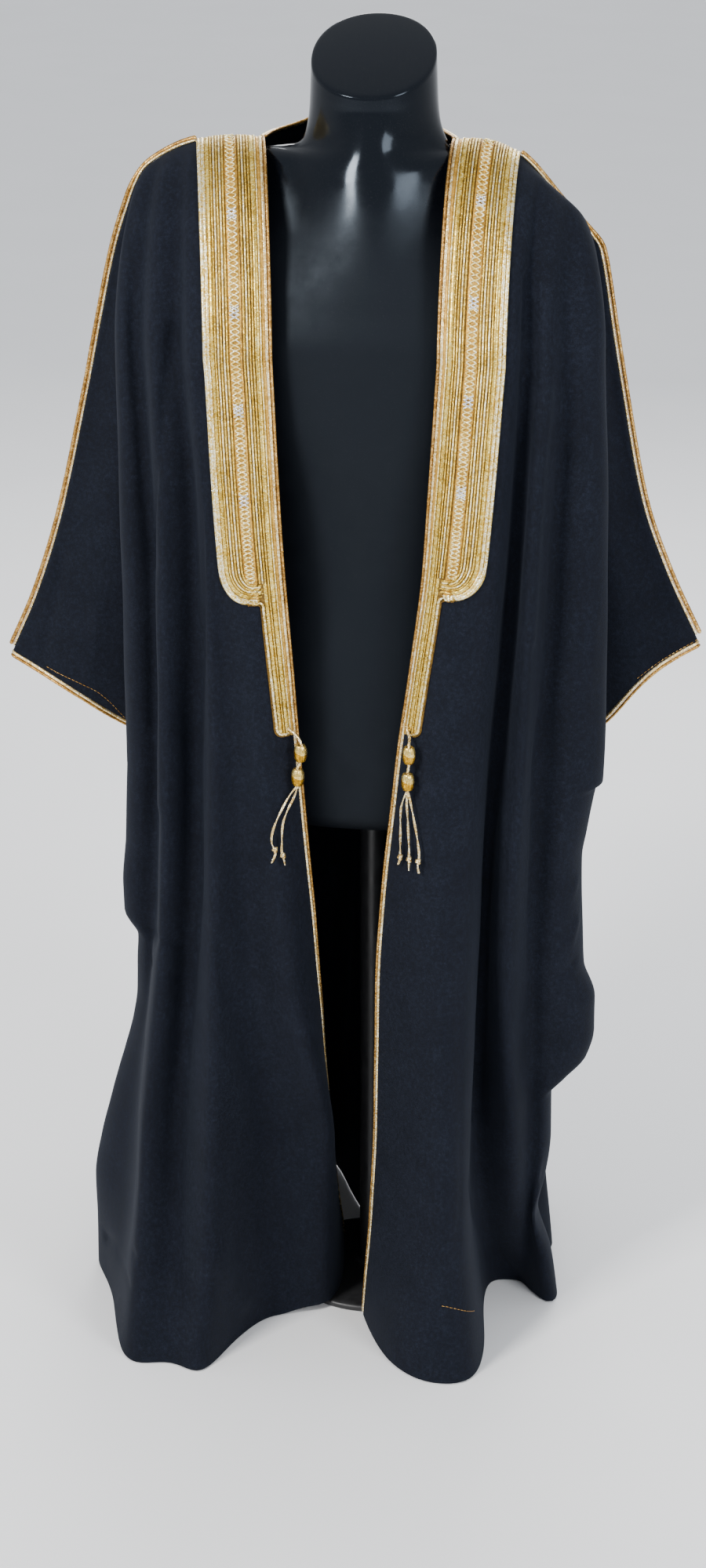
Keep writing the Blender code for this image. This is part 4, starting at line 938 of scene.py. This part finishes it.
def wave_line(start, end, low, high, first, last, phase):
    """A zigzag between two distances, its pitch going from the first to the last."""
    s = np.arange(start, end, 0.75 * MM)
    pitch = first + (last - first) * np.clip((s - start) / (end - start), 0, 1)
    turns = np.concatenate([[0], np.cumsum(np.diff(s) / pitch[1:])]) + phase
    wave = 2 * np.abs(2 * (turns % 1) - 1) - 1
    wave = np.sign(wave) * np.abs(wave) ** 0.8
    return s, (low + high) / 2 + (high - low) / 2 * wave, turns


def silver_knot(pile, rail, s):
    """A small woven knot of silver thread over the zigzag."""
    for lean in (1, -1):
        for number, shift in enumerate((-4.0, 0.0, 4.0)):
            across = np.linspace(-4.2, 4.2, 13)
            under = np.cos((across / 2.8 + number) * math.pi) * lean
            line = np.stack([s + (shift + lean * across * 0.55) * MM, KNOT_MIDDLE + across * MM], axis=1)
            lay(pile, rail, line, 0.8, SILVER, height=2.3 + 0.45 * under)


def braid_panel(side, rail, materials):
    """The wide part of the band: outer rope, hatched strip, turned cords, zigzag and knots on their ground."""
    pile = Pile()
    end = rail.down_to(PANEL_END[side])
    s, outer = rounded_side(PANEL_OUTER, end, PANEL_CORNER, 14)
    split = np.minimum(DARK_FROM, outer - 1 * MM)
    ribbon(pile, rail, s, PANEL_FROM, split, GROUND, ORANGE, 6)
    ribbon(pile, rail, s, split, outer, GROUND, HATCH, 10)
    dark = np.maximum(np.minimum(DARK_TO, outer - 1.5 * MM), 35.5 * MM)
    # The brown ground under the turned cords: partly the braid's own ground, partly painted shade between the cords
    ribbon(pile, rail, s, DARK_FROM, dark, GROUND + 0.1 * MM, BROWN_AND_SHADE, 8)
    for distance, radius, slot in TURNED_CORDS:
        lay(pile, rail, turned(distance * MM, end - 1.5 * MM, STRIP_TAPE), radius, slot)
    for distance, above, stop, radius, slot, height, flat, ends in TURNED_ROPES:
        line = turned(distance * MM, end - above * MM, stop * MM)
        lay(pile, rail, line, radius, slot, height, 10, flat=flat, ends=ends)
    for phase, height in ((0.0, 1.75), (0.5, 1.45)):
        s, d, turns = wave_line(FIRST, end - LEVEL_DEPTH - 2.5 * MM, *ZIGZAG, phase)
        lay(pile, rail, np.stack([s, d], axis=1), 1.0, PALE, height + 0.3 * np.cos(turns * 4 * math.pi), 5)
    for z in KNOT_HEIGHTS[side]:
        silver_knot(pile, rail, rail.down_to(z))
    return pile.build(f"braid_panel_{side}", materials, [f"band_panel_{side}"])


def braid_strip(side, rail, materials):
    """The narrow part of the band, with the tail below the panel."""
    pile = Pile()
    end, tail = rail.down_to(PANEL_END[side]), rail.down_to(STRIP_END[side])
    s, outer = rounded_side(STRIP_OUTER, tail, STRIP_CORNER, 10)
    ribbon(pile, rail, s, STRIP_FROM, np.minimum(STRIP_BROWN, outer), GROUND, ORANGE, 3)
    # The brown ground under the strip's cords: partly its own ground, partly painted shade between the cords
    ribbon(pile, rail, s, np.minimum(STRIP_BROWN, outer - 1 * MM), outer, GROUND, BROWN_AND_SHADE, 8)
    lay(pile, rail, straight(7.9 * MM, tail - 4 * MM), 2.4, HATCH, 1.1, 10, flat=0.38, ends=False)
    for distance, radius, slot in STRIP_CORDS:
        last = tail - 3.5 * MM if distance < 13 else end - LEVEL_DEPTH - 2.5 * MM
        lay(pile, rail, straight(distance * MM, last), radius, slot)
    lay(pile, rail, straight(15.4 * MM, tail - 4 * MM, end - LEVEL_DEPTH), 2.1, HATCH, 1.2, 10, flat=0.42)
    for above, far, near, at, over_tail, turn, corner, *cord in TAIL_ROPES:
        level = [(end - above * MM, d) for d in np.arange(far, near, -2.0) * MM]
        lay(pile, rail, corner_down(level, at * MM, tail - over_tail * MM, turn * MM, corner * MM), *cord)
    return pile.build(f"braid_strip_{side}", materials, [f"band_strip_{side}"])


# ---- Pipings, beads and tassels

# Radii round a cord of two plies and a strand of three
TWO_PLY = np.array([1.0, 0.92, 0.74, 0.92, 1.0, 0.92, 0.74, 0.92])
STRAND_PLY = np.array([1.0, 0.93, 0.82, 1.0, 0.93, 0.82])
# How far a piping's middle lies from the edge, the step along it, and the numbers of its two threads
CORE, PIPING_STEP = 3.0 * MM, 2.6 * MM
# The deep ply's bronze is partly the rope's own tone and partly painted shade of its shaded side; the bright ply is its
# lit side
BRIGHT, DEEP_AND_SHADE = 0, 1


def piping(name, path, sides, materials, node, trim=(0, 0), wide=2.05 * MM, narrow=1.6 * MM):
    """Two wound cords lying side by side, sewn along an edge. sides point away from the cloth."""
    lengths = arc_lengths(path)
    keep = (lengths >= trim[0]) & (lengths <= lengths[-1] - trim[1])
    path, sides = path[keep], sides[keep]
    pile = Pile()
    for radius, shift, slot in ((wide, -narrow - 0.1 * MM, BRIGHT), (narrow, wide + 0.1 * MM, DEEP_AND_SHADE)):
        thread(pile, path + sides * (shift + 0.6 * MM), radius, 10, slot, side=sides)
    return pile.build(name, materials, [node])


def at_places(vectors, knots, places):
    return np.stack([np.interp(places, knots, vectors[:, k]) for k in range(3)], axis=1)


def resampled(path, sides):
    """The path at even steps, with the side vectors that go with it."""
    knots = arc_lengths(path)
    places = np.linspace(0, knots[-1], int(knots[-1] / PIPING_STEP) + 1)
    return cubic(knots, path, places), unit(at_places(sides, knots, places))


def edge_cord(side, points, materials):
    out = beside_edge(points[:, 0], points[:, 1])
    path, sides = resampled(points[:, 0] + out * (CORE - 0.4 * MM), out)
    return piping(f"edge_cord_{side}", path, sides, materials, f"edge_piping_{side}", (0, 3.5 * MM))


def shoulder_cord(side, materials):
    """Down the shoulder seam from the band, and on down the top fold of the sleeve."""
    lift = SHELL / 2 + CORE - 0.3 * MM
    length = arc_lengths(np.array(SHOULDER[side]) * MM)[-1] * SHOULDER_END
    seam = seam_line(side, np.linspace((PANEL_OUTER + 1.6 * MM) / length, 1, 40))
    along = unit(np.gradient(seam, axis=0))
    up = unit(np.stack([-along[:, 2], np.zeros(len(seam)), along[:, 0]], axis=1))
    up *= np.sign(up[:, 2:])
    up[:, 1] = seam[:, 1] / (100 * MM)
    tops, outs, _ = sleeve_top(side, sleeve_rows(side))
    line = np.vstack([seam[:-1] + unit(up)[:-1] * lift, tops[3:] + outs[3:] * lift])
    lean = np.vstack([np.tile([0.0, 0.8, 0.6], (len(seam) - 1, 1)), unit(outs[3:] + [0.0, 0.25, 0.0])])
    knots = arc_lengths(line)
    places = np.arange(0, knots[-1] - 5.5 * MM, PIPING_STEP)
    path = eased(pchip(knots, line, places), 1, len(places) - 1, 8)
    sides = unit(eased(at_places(lean, knots, places), 1, len(places) - 1, 60))
    return piping(f"shoulder_cord_{side}", path, sides, materials, f"shoulder_piping_{side}", wide=1.6 * MM,
                  narrow=2.3 * MM)


def cuff_cord(side, points, materials):
    down = beside_edge(points[-1], points[-3])
    path = eased(points[-1] + down * (CORE - 0.2 * MM), 1, len(down) - 1, 2)
    return piping(f"cuff_cord_{side}", *resampled(path, down), materials, f"cuff_piping_{side}",
                  (CUFF_PIPING_SHORT, CUFF_PIPING_SHORT))


def neck_cord(points, materials):
    a, b = (int(np.argmin(np.linalg.norm(points[0] - neck_end(side), axis=1))) for side in FLIP)
    edge = points[0, a : b + 1]
    inward = unit(edge - points[1, a : b + 1])
    centre = np.array([-0.016, 0.0, 0.0])
    inward = unit(unit(centre - edge * [1, 1, 0]) + inward * [0, 0, 1.5])
    return piping("neck_cord", *resampled(edge + inward * CORE, inward), materials, "neck_piping", (4 * MM, 4 * MM))


def wound_bead(name, centre, materials, node):
    """A barrel wound with gold thread from end to end, the upper part and one side in a paler copy as painted light,
    the rest in a deeper copy as painted shade.
    """
    rows, columns = 37, 48
    t, hole = np.linspace(-1, 1, rows), BEAD_HOLE * np.array([0.8, 1.05])
    r = np.concatenate([hole, BEAD_RADIUS * (1 - 0.30 * np.abs(t) ** 2.6), hole[::-1]])
    h = BEAD_HEIGHT / 2 * np.concatenate([[-0.90, -0.97], t, [0.97, 0.90]])
    angle = circle(columns)
    wind = np.sin(angle * 12 + h[:, None] / MM * 0.9)
    size = r[:, None] + 0.22 * MM * np.abs(wind) * (r[:, None] > BEAD_HOLE * 1.3)
    points = np.stack([centre[0] + size * np.cos(angle), centre[1] + size * np.sin(angle),
                       np.broadcast_to(centre[2] + h[:, None], size.shape)], axis=-1)
    pile = Pile()
    pile.grid(points, h[:, None], np.arange(columns + 1) / columns, closed=True)
    # Painted light and shade: the upper part and one side get the paler thread as lit, the rest the deeper thread as
    # shaded
    pile.slots[-1] = ((h[:-1, None] / BEAD_HEIGHT + 0.16 * np.sin(angle + 2.2)) > 0.08).astype(int).ravel()
    return pile.build(name, materials, [node])


# Lines of stitches that show on the cloth: x, y, z in mm
STITCHES = {
    "front_right": ((102, -213, 91), (113, -210, 88), (124, -203, 81), (135, -183, 68)),
    "sleeve_left": ((-362, 15, 731), (-335, 9, 720), (-309, 10, 708), (-289, 16, 688), (-278, 21, 672)),
    "sleeve_right": ((342, 29, 789), (322, 22, 778), (302, 15, 766), (282, 9, 750)),
}


def sewn_line(name, cloth, flip, materials):
    """Running stitches that show on the cloth, over a turned hem."""
    line = even_path(np.array(STITCHES[name], float) * MM, 0.9 * MM)
    places, normals = cloth.reshape(-1, 3), grid_normals(cloth, flip).reshape(-1, 3)
    near = [int(np.argmin(np.linalg.norm(places - point, axis=1))) for point in line]
    lift = SHELL / 2 + 0.15 * MM - ((line - places[near]) * normals[near]).sum(axis=1)
    line = line + normals[near] * lift[:, None]
    pile = Pile()
    for start in range(0, len(line) - 3, 5):
        thread(pile, line[start : start + 4], 0.4 * MM, 5, 0)
    return pile.build(f"stitches_{name}", materials, [name])


def near_front(points, x, z):
    """The outer face of a front near its edge, at this x and z."""
    rows = points[:, :20]
    row = int(np.argmin(abs(rows[:, 8, 2] - z)))
    line = rows[row]
    order = np.argsort(line[:, 0])
    return float(np.interp(x, line[order, 0], line[order, 1])) - SHELL / 2


def tassel_cords(side, points, materials):
    """A two-ply cord through the beads, and its strands with a knot near each end."""
    row = TASSELS[side]
    pile = Pile()
    line = np.array(row["cord"], float) * MM
    base = near_front(points, line[-1][0], line[-1][1]) - line[-1][2]
    path = [[x, near_front(points, x, z) - out if z > line[3][1] else base, z] for x, z, out in line]
    thread(pile, even_path(path, 1.2 * MM), CORD_RADIUS, 8, 0, lobes=TWO_PLY, twist=110)
    for number, strand in enumerate(row["strands"]):
        place = []
        strand = np.array(strand, float) * MM
        for x, z in strand:
            share = smooth_step((strand[0][1] - z) / (35 * MM))
            place.append([x, (near_front(points, x, z) - STRAND_OUT) * share + base * (1 - share), z])
        place = np.array(place)
        route = even_path(place, 1.0 * MM)
        turn = arc_lengths(route) / (9 * MM)
        for shift in (-0.62, 0.62):
            swing, lean = shift * MM * np.cos(turn + number), shift * MM * np.sin(turn + number)
            thread(pile, route + np.stack([swing, lean * 0.8, 0 * swing], axis=1), 0.82 * MM, 6, 0, lobes=STRAND_PLY,
                   twist=150)
        knot(pile, place[-2], unit(place[-1] - place[-3]))
    return pile.build(f"tassel_cords_{side}", materials, [f"tassel_{side}"])


def knot(pile, centre, along):
    """A tight overhand knot: two turns of thread round the strand."""
    side = unit(np.cross(along, [0.1, 1.0, 0.2]))
    up = np.cross(along, side)
    turn = np.linspace(0, 2.2 * 2 * math.pi, 44)
    rise = np.linspace(-2.2, 2.2, 44) * MM
    size = (1.9 + 0.3 * np.sin(turn * 1.5)) * MM
    path = centre + along * rise[:, None] + side * (np.cos(turn) * size)[:, None] + up * (np.sin(turn) * size)[:, None]
    thread(pile, path, 1.15 * MM, 6, 0)


# ---- The dress form and its stand


def softened(values, places, width, counted=1):
    """How far each value lies from the mean of those near it, out of the rows that count."""
    weight = np.exp(-0.5 * ((places[:, None] - places) / width) ** 2) * abs(np.gradient(places)) * counted
    return weight @ values / np.maximum(weight.sum(axis=1), 1e-9)[:, None] - values


def form_rings():
    """The torso, the neck and its cap, with a smooth chest and a soft hollow at the base of the neck."""
    table = np.array(TORSO, float)
    heights = np.concatenate([np.arange(600, 1230, 6.0), np.arange(1230, 1314, 1.5), np.arange(1314, 1340.1, 3.0)])
    rings = [torso_ring((z, *row)) for z, row in zip(heights, pchip(table[:, 0], table[:, 1:], heights))]
    neck, top = np.array(TORSO[-1], float), np.array(NECK_TOP, float)
    rings += [torso_ring(neck + (top - neck) * share, CAP_TILT * share) for share in np.linspace(0, 1, 13)[1:]]
    rim, middle = rings[-1], rings[-1].mean(axis=0)
    rings += [middle + (rim - middle) * size + [0, 0, rise * MM] for size, rise in CAP]
    centre = rings[0].mean(axis=0)
    under = [centre + (rings[0] - centre) * size + [0, 0, rise * MM] for size, rise in UNDERSIDE]
    rings[0] = rings[0] + [0, 0, 2.4 * MM]
    rings = np.array(under + rings)

    row = np.arange(len(rings))
    counted = (row > len(UNDERSIDE)) & (row <= len(rings) - 1 - len(CAP))
    soft = softened(rings[..., 1], rings[..., 2].mean(axis=1), CHEST_SOFT, counted)
    reach = np.where(soft * np.sign(rings[..., 1]) > 0, 80, 110) * MM
    near = smooth_step((reach - abs(rings[..., 0])) / (35 * MM)) * smooth_step((rings[..., 2] - 1.15) / 0.05)
    near *= smooth_step((1.352 - rings[..., 2]) / 0.02)
    rings[..., 1] += soft * near

    first, last = NECK_ROWS
    ends = smooth_step(np.minimum(np.arange(last - first), np.arange(last - first)[::-1]) / NECK_FADE)
    for column, along in enumerate(arc_lengths(rings).T):
        soft = softened(rings[:, column], along, NECK_SOFT)[first:last]
        x, y, _ = rings[first:last, column].T
        near = smooth_step((84 * MM - abs(x)) / (26 * MM)) * smooth_step((20 * MM - y) / (20 * MM))
        rings[first:last, column] += soft * (near * ends)[:, None]
    return rings


def turned_piece(name, profile, sides, material, node):
    """A piece turned round the vertical axis from (radius, height) in mm."""
    profile = np.array(profile, float) * MM
    turn = circle(sides)
    points = np.stack([profile[:, :1] * np.cos(turn), profile[:, :1] * np.sin(turn),
                       np.broadcast_to(profile[:, 1:], (len(profile), sides))], axis=-1)
    pile = Pile()
    pile.grid(points, arc_lengths(profile)[:, None], np.arange(sides + 1) / sides * 0.1, closed=True)
    return pile.build(name, [material], [node])


def dress_form(gloss, stand):
    rings = form_rings()
    pile = Pile()
    pile.grid(rings, np.arange(len(rings))[:, None] * 4 * MM, np.linspace(0, 1, rings.shape[1] + 1), closed=True)
    pile.build("form_body", [gloss], ["form_torso"])
    edge = BASE_RADIUS / MM
    base = [(0.4, 0), (60, 0), (edge - 1.2, 0), (edge - 0.3, 0.4), (edge, 1.2), (edge, 4.2), (edge - 0.6, 5.6),
            (edge - 2.6, 7.0), (edge - 6.5, 7.8), (60, 8.0), (22, 8.0), (20, 8.2), (0.4, 8.2)]
    turned_piece("stand_base", base, 96, stand, "form_base")
    pole = [(0.4, 8.3), (19, 8.3), (19.6, 9.4), (19, 12.5), (15, 14), (14.0, 16), (14.0, 300), (14.0, 560), (14.0, 584),
            (17, 586), (18, 588), (18, 597), (17, 599.4), (0.4, 599.6)]
    turned_piece("stand_pole", pole, 48, stand, "form_pole")


# ---- Materials


class Finish:
    """A node material built up step by step, ending in one Principled shader."""

    def __init__(self, name, **fixed):
        self.material = bpy.data.materials.new(name)
        self.material.use_nodes = True
        self.tree = self.material.node_tree
        self.shader = self.tree.nodes["Principled BSDF"]
        for key, value in fixed.items():
            self.shader.inputs[key.replace("_", " ")].default_value = value

    def put(self, socket, value):
        """A link into the socket, or a value set on it."""
        if hasattr(value, "is_output"):
            self.tree.links.new(value, socket)
        else:
            socket.default_value = value

    def node(self, kind, settings=None, **inputs):
        """A node with these settings. An input's name is the socket's, or i and its number."""
        made = self.tree.nodes.new("ShaderNode" + kind)
        for key, value in (settings or {}).items():
            setattr(made, key, value)
        for name, value in inputs.items():
            self.put(made.inputs[int(name[1:]) if name[1:].isdigit() else name.replace("_", " ")], value)
        return made

    def math(self, operation, *values):
        return self.node("Math", {"operation": operation}, **{f"i{k}": v for k, v in enumerate(values)}).outputs[0]

    def total(self, *shares):
        """The sum of each value times its weight."""
        whole = None
        for value, weight in reversed(shares):
            part = self.math("MULTIPLY", value, weight)
            whole = part if whole is None else self.math("ADD", part, whole)
        return whole

    def noise(self, where, scale, detail=2.0, roughness=0.5):
        return self.node("TexNoise", None, Vector=where, Scale=scale, Detail=detail, Roughness=roughness).outputs["Fac"]

    def cells(self, where, scale):
        """One random value for each small cell."""
        colour = self.node("TexVoronoi", None, Vector=where, Scale=scale).outputs["Color"]
        return self.node("SeparateColor", None, Color=colour).outputs[0]

    def span(self, value, low, high, out_low=0.0, out_high=1.0):
        return self.node("MapRange", None, Value=value, From_Min=low, From_Max=high, To_Min=out_low,
                         To_Max=out_high).outputs["Result"]

    def ramp(self, value, *stops):
        made = self.node("ValToRGB", None, Fac=value)
        elements = made.color_ramp.elements
        while len(elements) < len(stops):
            elements.new(0.5)
        for element, (place, colour) in zip(elements, stops):
            element.position = place
            element.color = (*colour, 1)
        return made.outputs["Color"]

    def bump(self, height, distance, strength=1.0, under=None):
        more = {} if under is None else {"Normal": under}
        return self.node("Bump", None, Height=height, Distance=distance, Strength=strength, **more).outputs["Normal"]

    def finished(self, **links):
        """The material, with these links into its shader."""
        for name, value in links.items():
            self.put(self.shader.inputs[name.replace("_", " ")], value)
        return self.material

    def objects(self):
        return self.node("TexCoord").outputs["Object"]

    def thread_map(self):
        """The thread map as two values, along and across the thread."""
        split = self.node("SeparateXYZ", None, Vector=self.node("UVMap", {"uv_map": "Thread"}).outputs["UV"])
        return split.outputs["X"], split.outputs["Y"]


def cloth_finish():
    """Black wool with a soft brushed nap, a faint blue cast and a low sheen."""
    f = Finish("black wool", Metallic=0.0, Sheen_Weight=0.03, Sheen_Roughness=0.5, Sheen_Tint=(0.62, 0.74, 1.0, 1),
               Specular_IOR_Level=0.12)
    where = f.objects()
    nap, tuft = f.noise(where, 1400, 3.0, 0.65), f.noise(where, 260, 3.0, 0.6)
    cloud, slow = f.noise(where, 26, 3.0, 0.55), f.noise(where, 5)
    tone = f.total((nap, 0.48), (tuft, 0.34), (cloud, 0.10), (slow, 0.08))
    colour = f.ramp(tone, (0.36, (0.0014, 0.0020, 0.0040)), (0.50, (0.0040, 0.0054, 0.0100)),
                    (0.64, (0.0115, 0.0145, 0.0245)))
    return f.finished(Base_Color=colour, Roughness=f.span(tuft, 0.3, 0.7, 0.80, 0.95),
                      Normal=f.bump(nap, 0.00035, 0.55, f.bump(tuft, 0.0006, 0.35)))


def thread_finish(name, dark, middle, bright, wind, starts, rough, metal, sparkle, seed):
    """Metal thread wound round a core: fine slanting turns, bright flecks with painted glints and slow changes of tone.
    wind is its turns for each metre, and starts how many threads run side by side."""
    f = Finish(name, Metallic=metal)
    along, across = f.thread_map()
    where = f.objects()
    turns = f.math("SINE", f.total((along, wind * 2 * math.pi), (across, starts * 2 * math.pi)))
    fleck = f.cells(f.node("VectorMath", {"operation": "ADD"}, i0=where, i1=(seed, seed * 0.7, 0)).outputs[0], 620)
    painted_glint, slow = f.math("POWER", fleck, 3.0), f.noise(where, 34)
    patch = f.span(f.noise(where, 190, 2.0, 0.6), 0.3, 0.7, -0.10, 0.12)
    # Painted glints: the cubed flecks lift the tone towards the near-white bright stop, standing in for highlights on
    # the metal
    tone = f.total((turns, 0.16), (fleck, 0.30 * sparkle + 0.1), (painted_glint, 0.46 * sparkle), (patch, 1.0), (slow, 0.46))
    return f.finished(Base_Color=f.ramp(tone, (0.10, dark), (0.42, middle), (0.85, bright)),
                      Roughness=f.span(fleck, 0.0, 1.0, rough + 0.14, rough - 0.12),
                      Normal=f.bump(turns, 0.00007, 0.5, f.bump(fleck, 0.00035, 0.5)))


def gloss_finish():
    """Black lacquered moulding: near mirror on the neck, satin below it, with faint waves, dust and rub marks."""
    f = Finish("gloss black moulding", Metallic=0.0, IOR=1.40, Specular_IOR_Level=0.30,
               Specular_Tint=(0.72, 0.85, 1.0, 1))
    where = f.objects()
    wave, dust, smear = f.noise(where, 11), f.noise(where, 900), f.noise(where, 38, 4.0, 0.6)
    satin = f.span(f.node("SeparateXYZ", None, Vector=where).outputs["Z"], 1.22, 1.285, 0.40, 0.0)
    return f.finished(Base_Color=f.ramp(dust, (0.60, (0.0020, 0.0026, 0.0042)), (0.85, (0.012, 0.012, 0.014))),
                      Roughness=f.math("ADD", f.span(smear, 0.35, 0.75, 0.10, 0.20), satin),
                      Normal=f.bump(wave, 0.0012, 0.25))


def stand_finish():
    """Black powder-coated steel with a fine grain and paler worn edges."""
    f = Finish("black painted stand", Metallic=0.0, IOR=1.5)
    where = f.objects()
    grain, wear = f.noise(where, 1500), f.noise(where, 60, 4.0, 0.65)
    edge = f.span(f.node("NewGeometry").outputs["Pointiness"], 0.52, 0.60)
    paint = f.ramp(wear, (0.3, (0.014, 0.014, 0.015)), (0.8, (0.026, 0.026, 0.028)))
    # A mix node's sockets for colours are its seventh and eighth
    mixed = f.node("Mix", {"data_type": "RGBA"}, i0=f.math("MULTIPLY", edge, f.span(wear, 0.45, 0.6)), i6=paint,
                   i7=(0.075, 0.073, 0.070, 1)).outputs[2]
    return f.finished(Base_Color=mixed, Roughness=f.span(wear, 0.3, 0.7, 0.34, 0.52),
                      Normal=f.bump(grain, 0.0002, 0.35))


def floor_finish():
    f = Finish("pale floor", Metallic=0.0)
    soft = f.noise(f.objects(), 3)
    return f.finished(Base_Color=f.ramp(soft, (0.3, (0.93, 0.93, 0.935)), (0.7, (0.95, 0.95, 0.955))),
                      Roughness=f.span(soft, 0.3, 0.7, 0.55, 0.65))


# ---- Everything in its place


def declare(points):
    """The widest row and the longest column of a cloth sheet, worked out and not kept."""
    width, length = arc_lengths(points, 1)[:, -1].max(), arc_lengths(points, 0)[-1].max()


# Lamps: name, place, the height over the origin that they face, width and height, power and colour
LIGHTS = (("key", (-1.9, -2.6, 2.8), 0.85, (0.8, 0.8), 150, (1.0, 0.98, 0.95)),
          ("fill", (2.3, -2.2, 1.9), 0.8, (1.0, 1.4), 60, (0.96, 0.98, 1.0)),
          ("behind", (0.1, 2.8, 2.4), 0.9, (2.0, 1.2), 60, (1, 1, 1)))
# The camera: lens in mm, place, and its turns from looking down
LENS, EYE, TILT, TURN = 65, (0.32549, -2.83144, 1.826), math.radians(90 - 23), math.radians(7)


def light(name, place, height, size, power, colour):
    """A soft lamp that faces a point over the origin."""
    lamp = bpy.data.lights.new(name, "AREA")
    lamp.shape, lamp.size, lamp.size_y = "RECTANGLE", *size
    lamp.energy, lamp.color = power, colour
    x, y, z = place
    placed(name, lamp, place, (math.atan2(math.hypot(x, y), z - height), 0, math.atan2(x, -y)))


def studio():
    """A pale floor and sky, soft lamps, and the camera at the photograph's angle."""
    mesh = bpy.data.meshes.new("floor")
    mesh.from_pydata([(-24, -24, 0), (24, -24, 0), (24, 24, 0), (-24, 24, 0)], [], [(0, 1, 2, 3)])
    mesh.materials.append(floor_finish())
    placed("floor", mesh, (0, 0, -0.0004))
    world = bpy.data.worlds.new("studio")
    world.use_nodes = True
    sky = world.node_tree.nodes["Background"].inputs
    sky["Color"].default_value, sky["Strength"].default_value = (0.92, 0.95, 1.0, 1), 0.95
    bpy.context.scene.world = world
    for row in LIGHTS:
        light(*row)
    camera = bpy.data.cameras.new("camera")
    camera.lens, camera.sensor_width, camera.clip_end = LENS, 36, 80
    bpy.context.scene.camera = placed("camera", camera, EYE, (TILT, 0, TURN))


# The gold threads: name, dark, middle and bright tone, turns for each metre, threads side by side, roughness, metal,
# sparkle (the weight of the flecks and of their painted glints, which reach the bright tone) and seed
BRAID = (
    ("gold braid cord", (0.24, 0.13, 0.012), (0.72, 0.46, 0.055), (1.0, 0.84, 0.30), 1300, 2, 0.25, 0.9, 0.5, 0.0),
    ("pale gold cord", (0.42, 0.27, 0.05), (0.94, 0.71, 0.21), (1.0, 0.98, 0.72), 1300, 2, 0.26, 0.85, 0.8, 0.3),
    ("orange gold tape", (0.28, 0.135, 0.012), (0.62, 0.35, 0.05), (0.92, 0.64, 0.18), 900, 0, 0.38, 0.7, 0.25, 0.9),
    ("hatched gold tape", (0.26, 0.15, 0.013), (0.76, 0.50, 0.070), (1.0, 0.88, 0.36), 760, 3, 0.25, 0.85, 0.6, 1.7),
    ("silver thread", (0.36, 0.36, 0.38), (0.72, 0.72, 0.75), (1.0, 1.0, 1.0), 900, 2, 0.22, 0.85, 1.0, 2.3),
    ("brown gold thread and painted shade", (0.06, 0.030, 0.004), (0.17, 0.090, 0.011), (0.38, 0.22, 0.03), 900, 2, 0.45, 0.6, 0.3, 3.1),
    ("sparkling gold braid", (0.34, 0.21, 0.03), (0.88, 0.63, 0.15), (1.0, 0.98, 0.76), 900, 2, 0.22, 0.85, 1.1, 3.7),
)
# The pipings' two plies: the bright one as the lit side, the bronze one partly painted shade of the shaded side
ROPES = (
    ("bright rope cord", (0.30, 0.18, 0.04), (0.82, 0.58, 0.22), (1.0, 0.93, 0.66), 1000, 2, 0.24, 0.85, 0.9, 4.0),
    ("bronze rope cord and painted shade", (0.15, 0.065, 0.012), (0.48, 0.25, 0.05), (0.92, 0.64, 0.26), 1100, 2, 0.28, 0.85, 0.4, 4.6),
)
# The beads' two threads are one gold, lit and shaded: painted light and painted shade
BEADS = (
    ("gold bead painted shade", (0.20, 0.085, 0.003), (0.50, 0.26, 0.010), (0.86, 0.55, 0.07), 0, 24, 0.26, 0.9, 0.3, 5.0),
    ("gold bead painted light", (0.36, 0.22, 0.03), (0.84, 0.60, 0.15), (1.0, 0.90, 0.50), 0, 24, 0.24, 0.9, 0.4, 5.6),
)


def dress():
    wool = [cloth_finish()]
    braid, cords, gold = ([thread_finish(*row) for row in rows] for rows in (BRAID, ROPES, BEADS))
    dress_form(gloss_finish(), stand_finish())
    back = back_grid()
    back_piece = cloth_piece("back", back, 1, wool)
    neck = neck_cord(back, cords)
    for side, flip in FLIP.items():
        front, sleeve = front_grid(side), sleeve_grid(side)
        rail = Rail(side)
        on_front = [braid_panel(side, rail, braid), braid_strip(side, rail, braid), edge_cord(side, front, cords)]
        on_sleeve = [shoulder_cord(side, cords), cuff_cord(side, sleeve, cords)]
        on_front.append(tassel_cords(side, front, cords))
        x, z, out = (value * MM for value in TASSELS[side]["cord"][-1])
        base = near_front(front, x, z) - out
        for number, (x, z) in enumerate(TASSELS[side]["beads"], 1):
            on_front.append(wound_bead(f"wound_bead_{side}_{number}", (x * MM, base, z * MM), gold,
                                       f"bead_{side}_{number}"))
        front_piece = cloth_piece(f"front_{side}", front, flip, wool)
        sleeve_piece = cloth_piece(f"sleeve_{side}", sleeve, flip, wool)
        for name, cloth, sewn in ((f"front_{side}", front, on_front), (f"sleeve_{side}", sleeve, on_sleeve)):
            if name in STITCHES:
                sewn.append(sewn_line(name, cloth, flip, cords[DEEP_AND_SHADE:]))
        declare(front)
        declare(sleeve)
    declare(back)


dress()
studio()
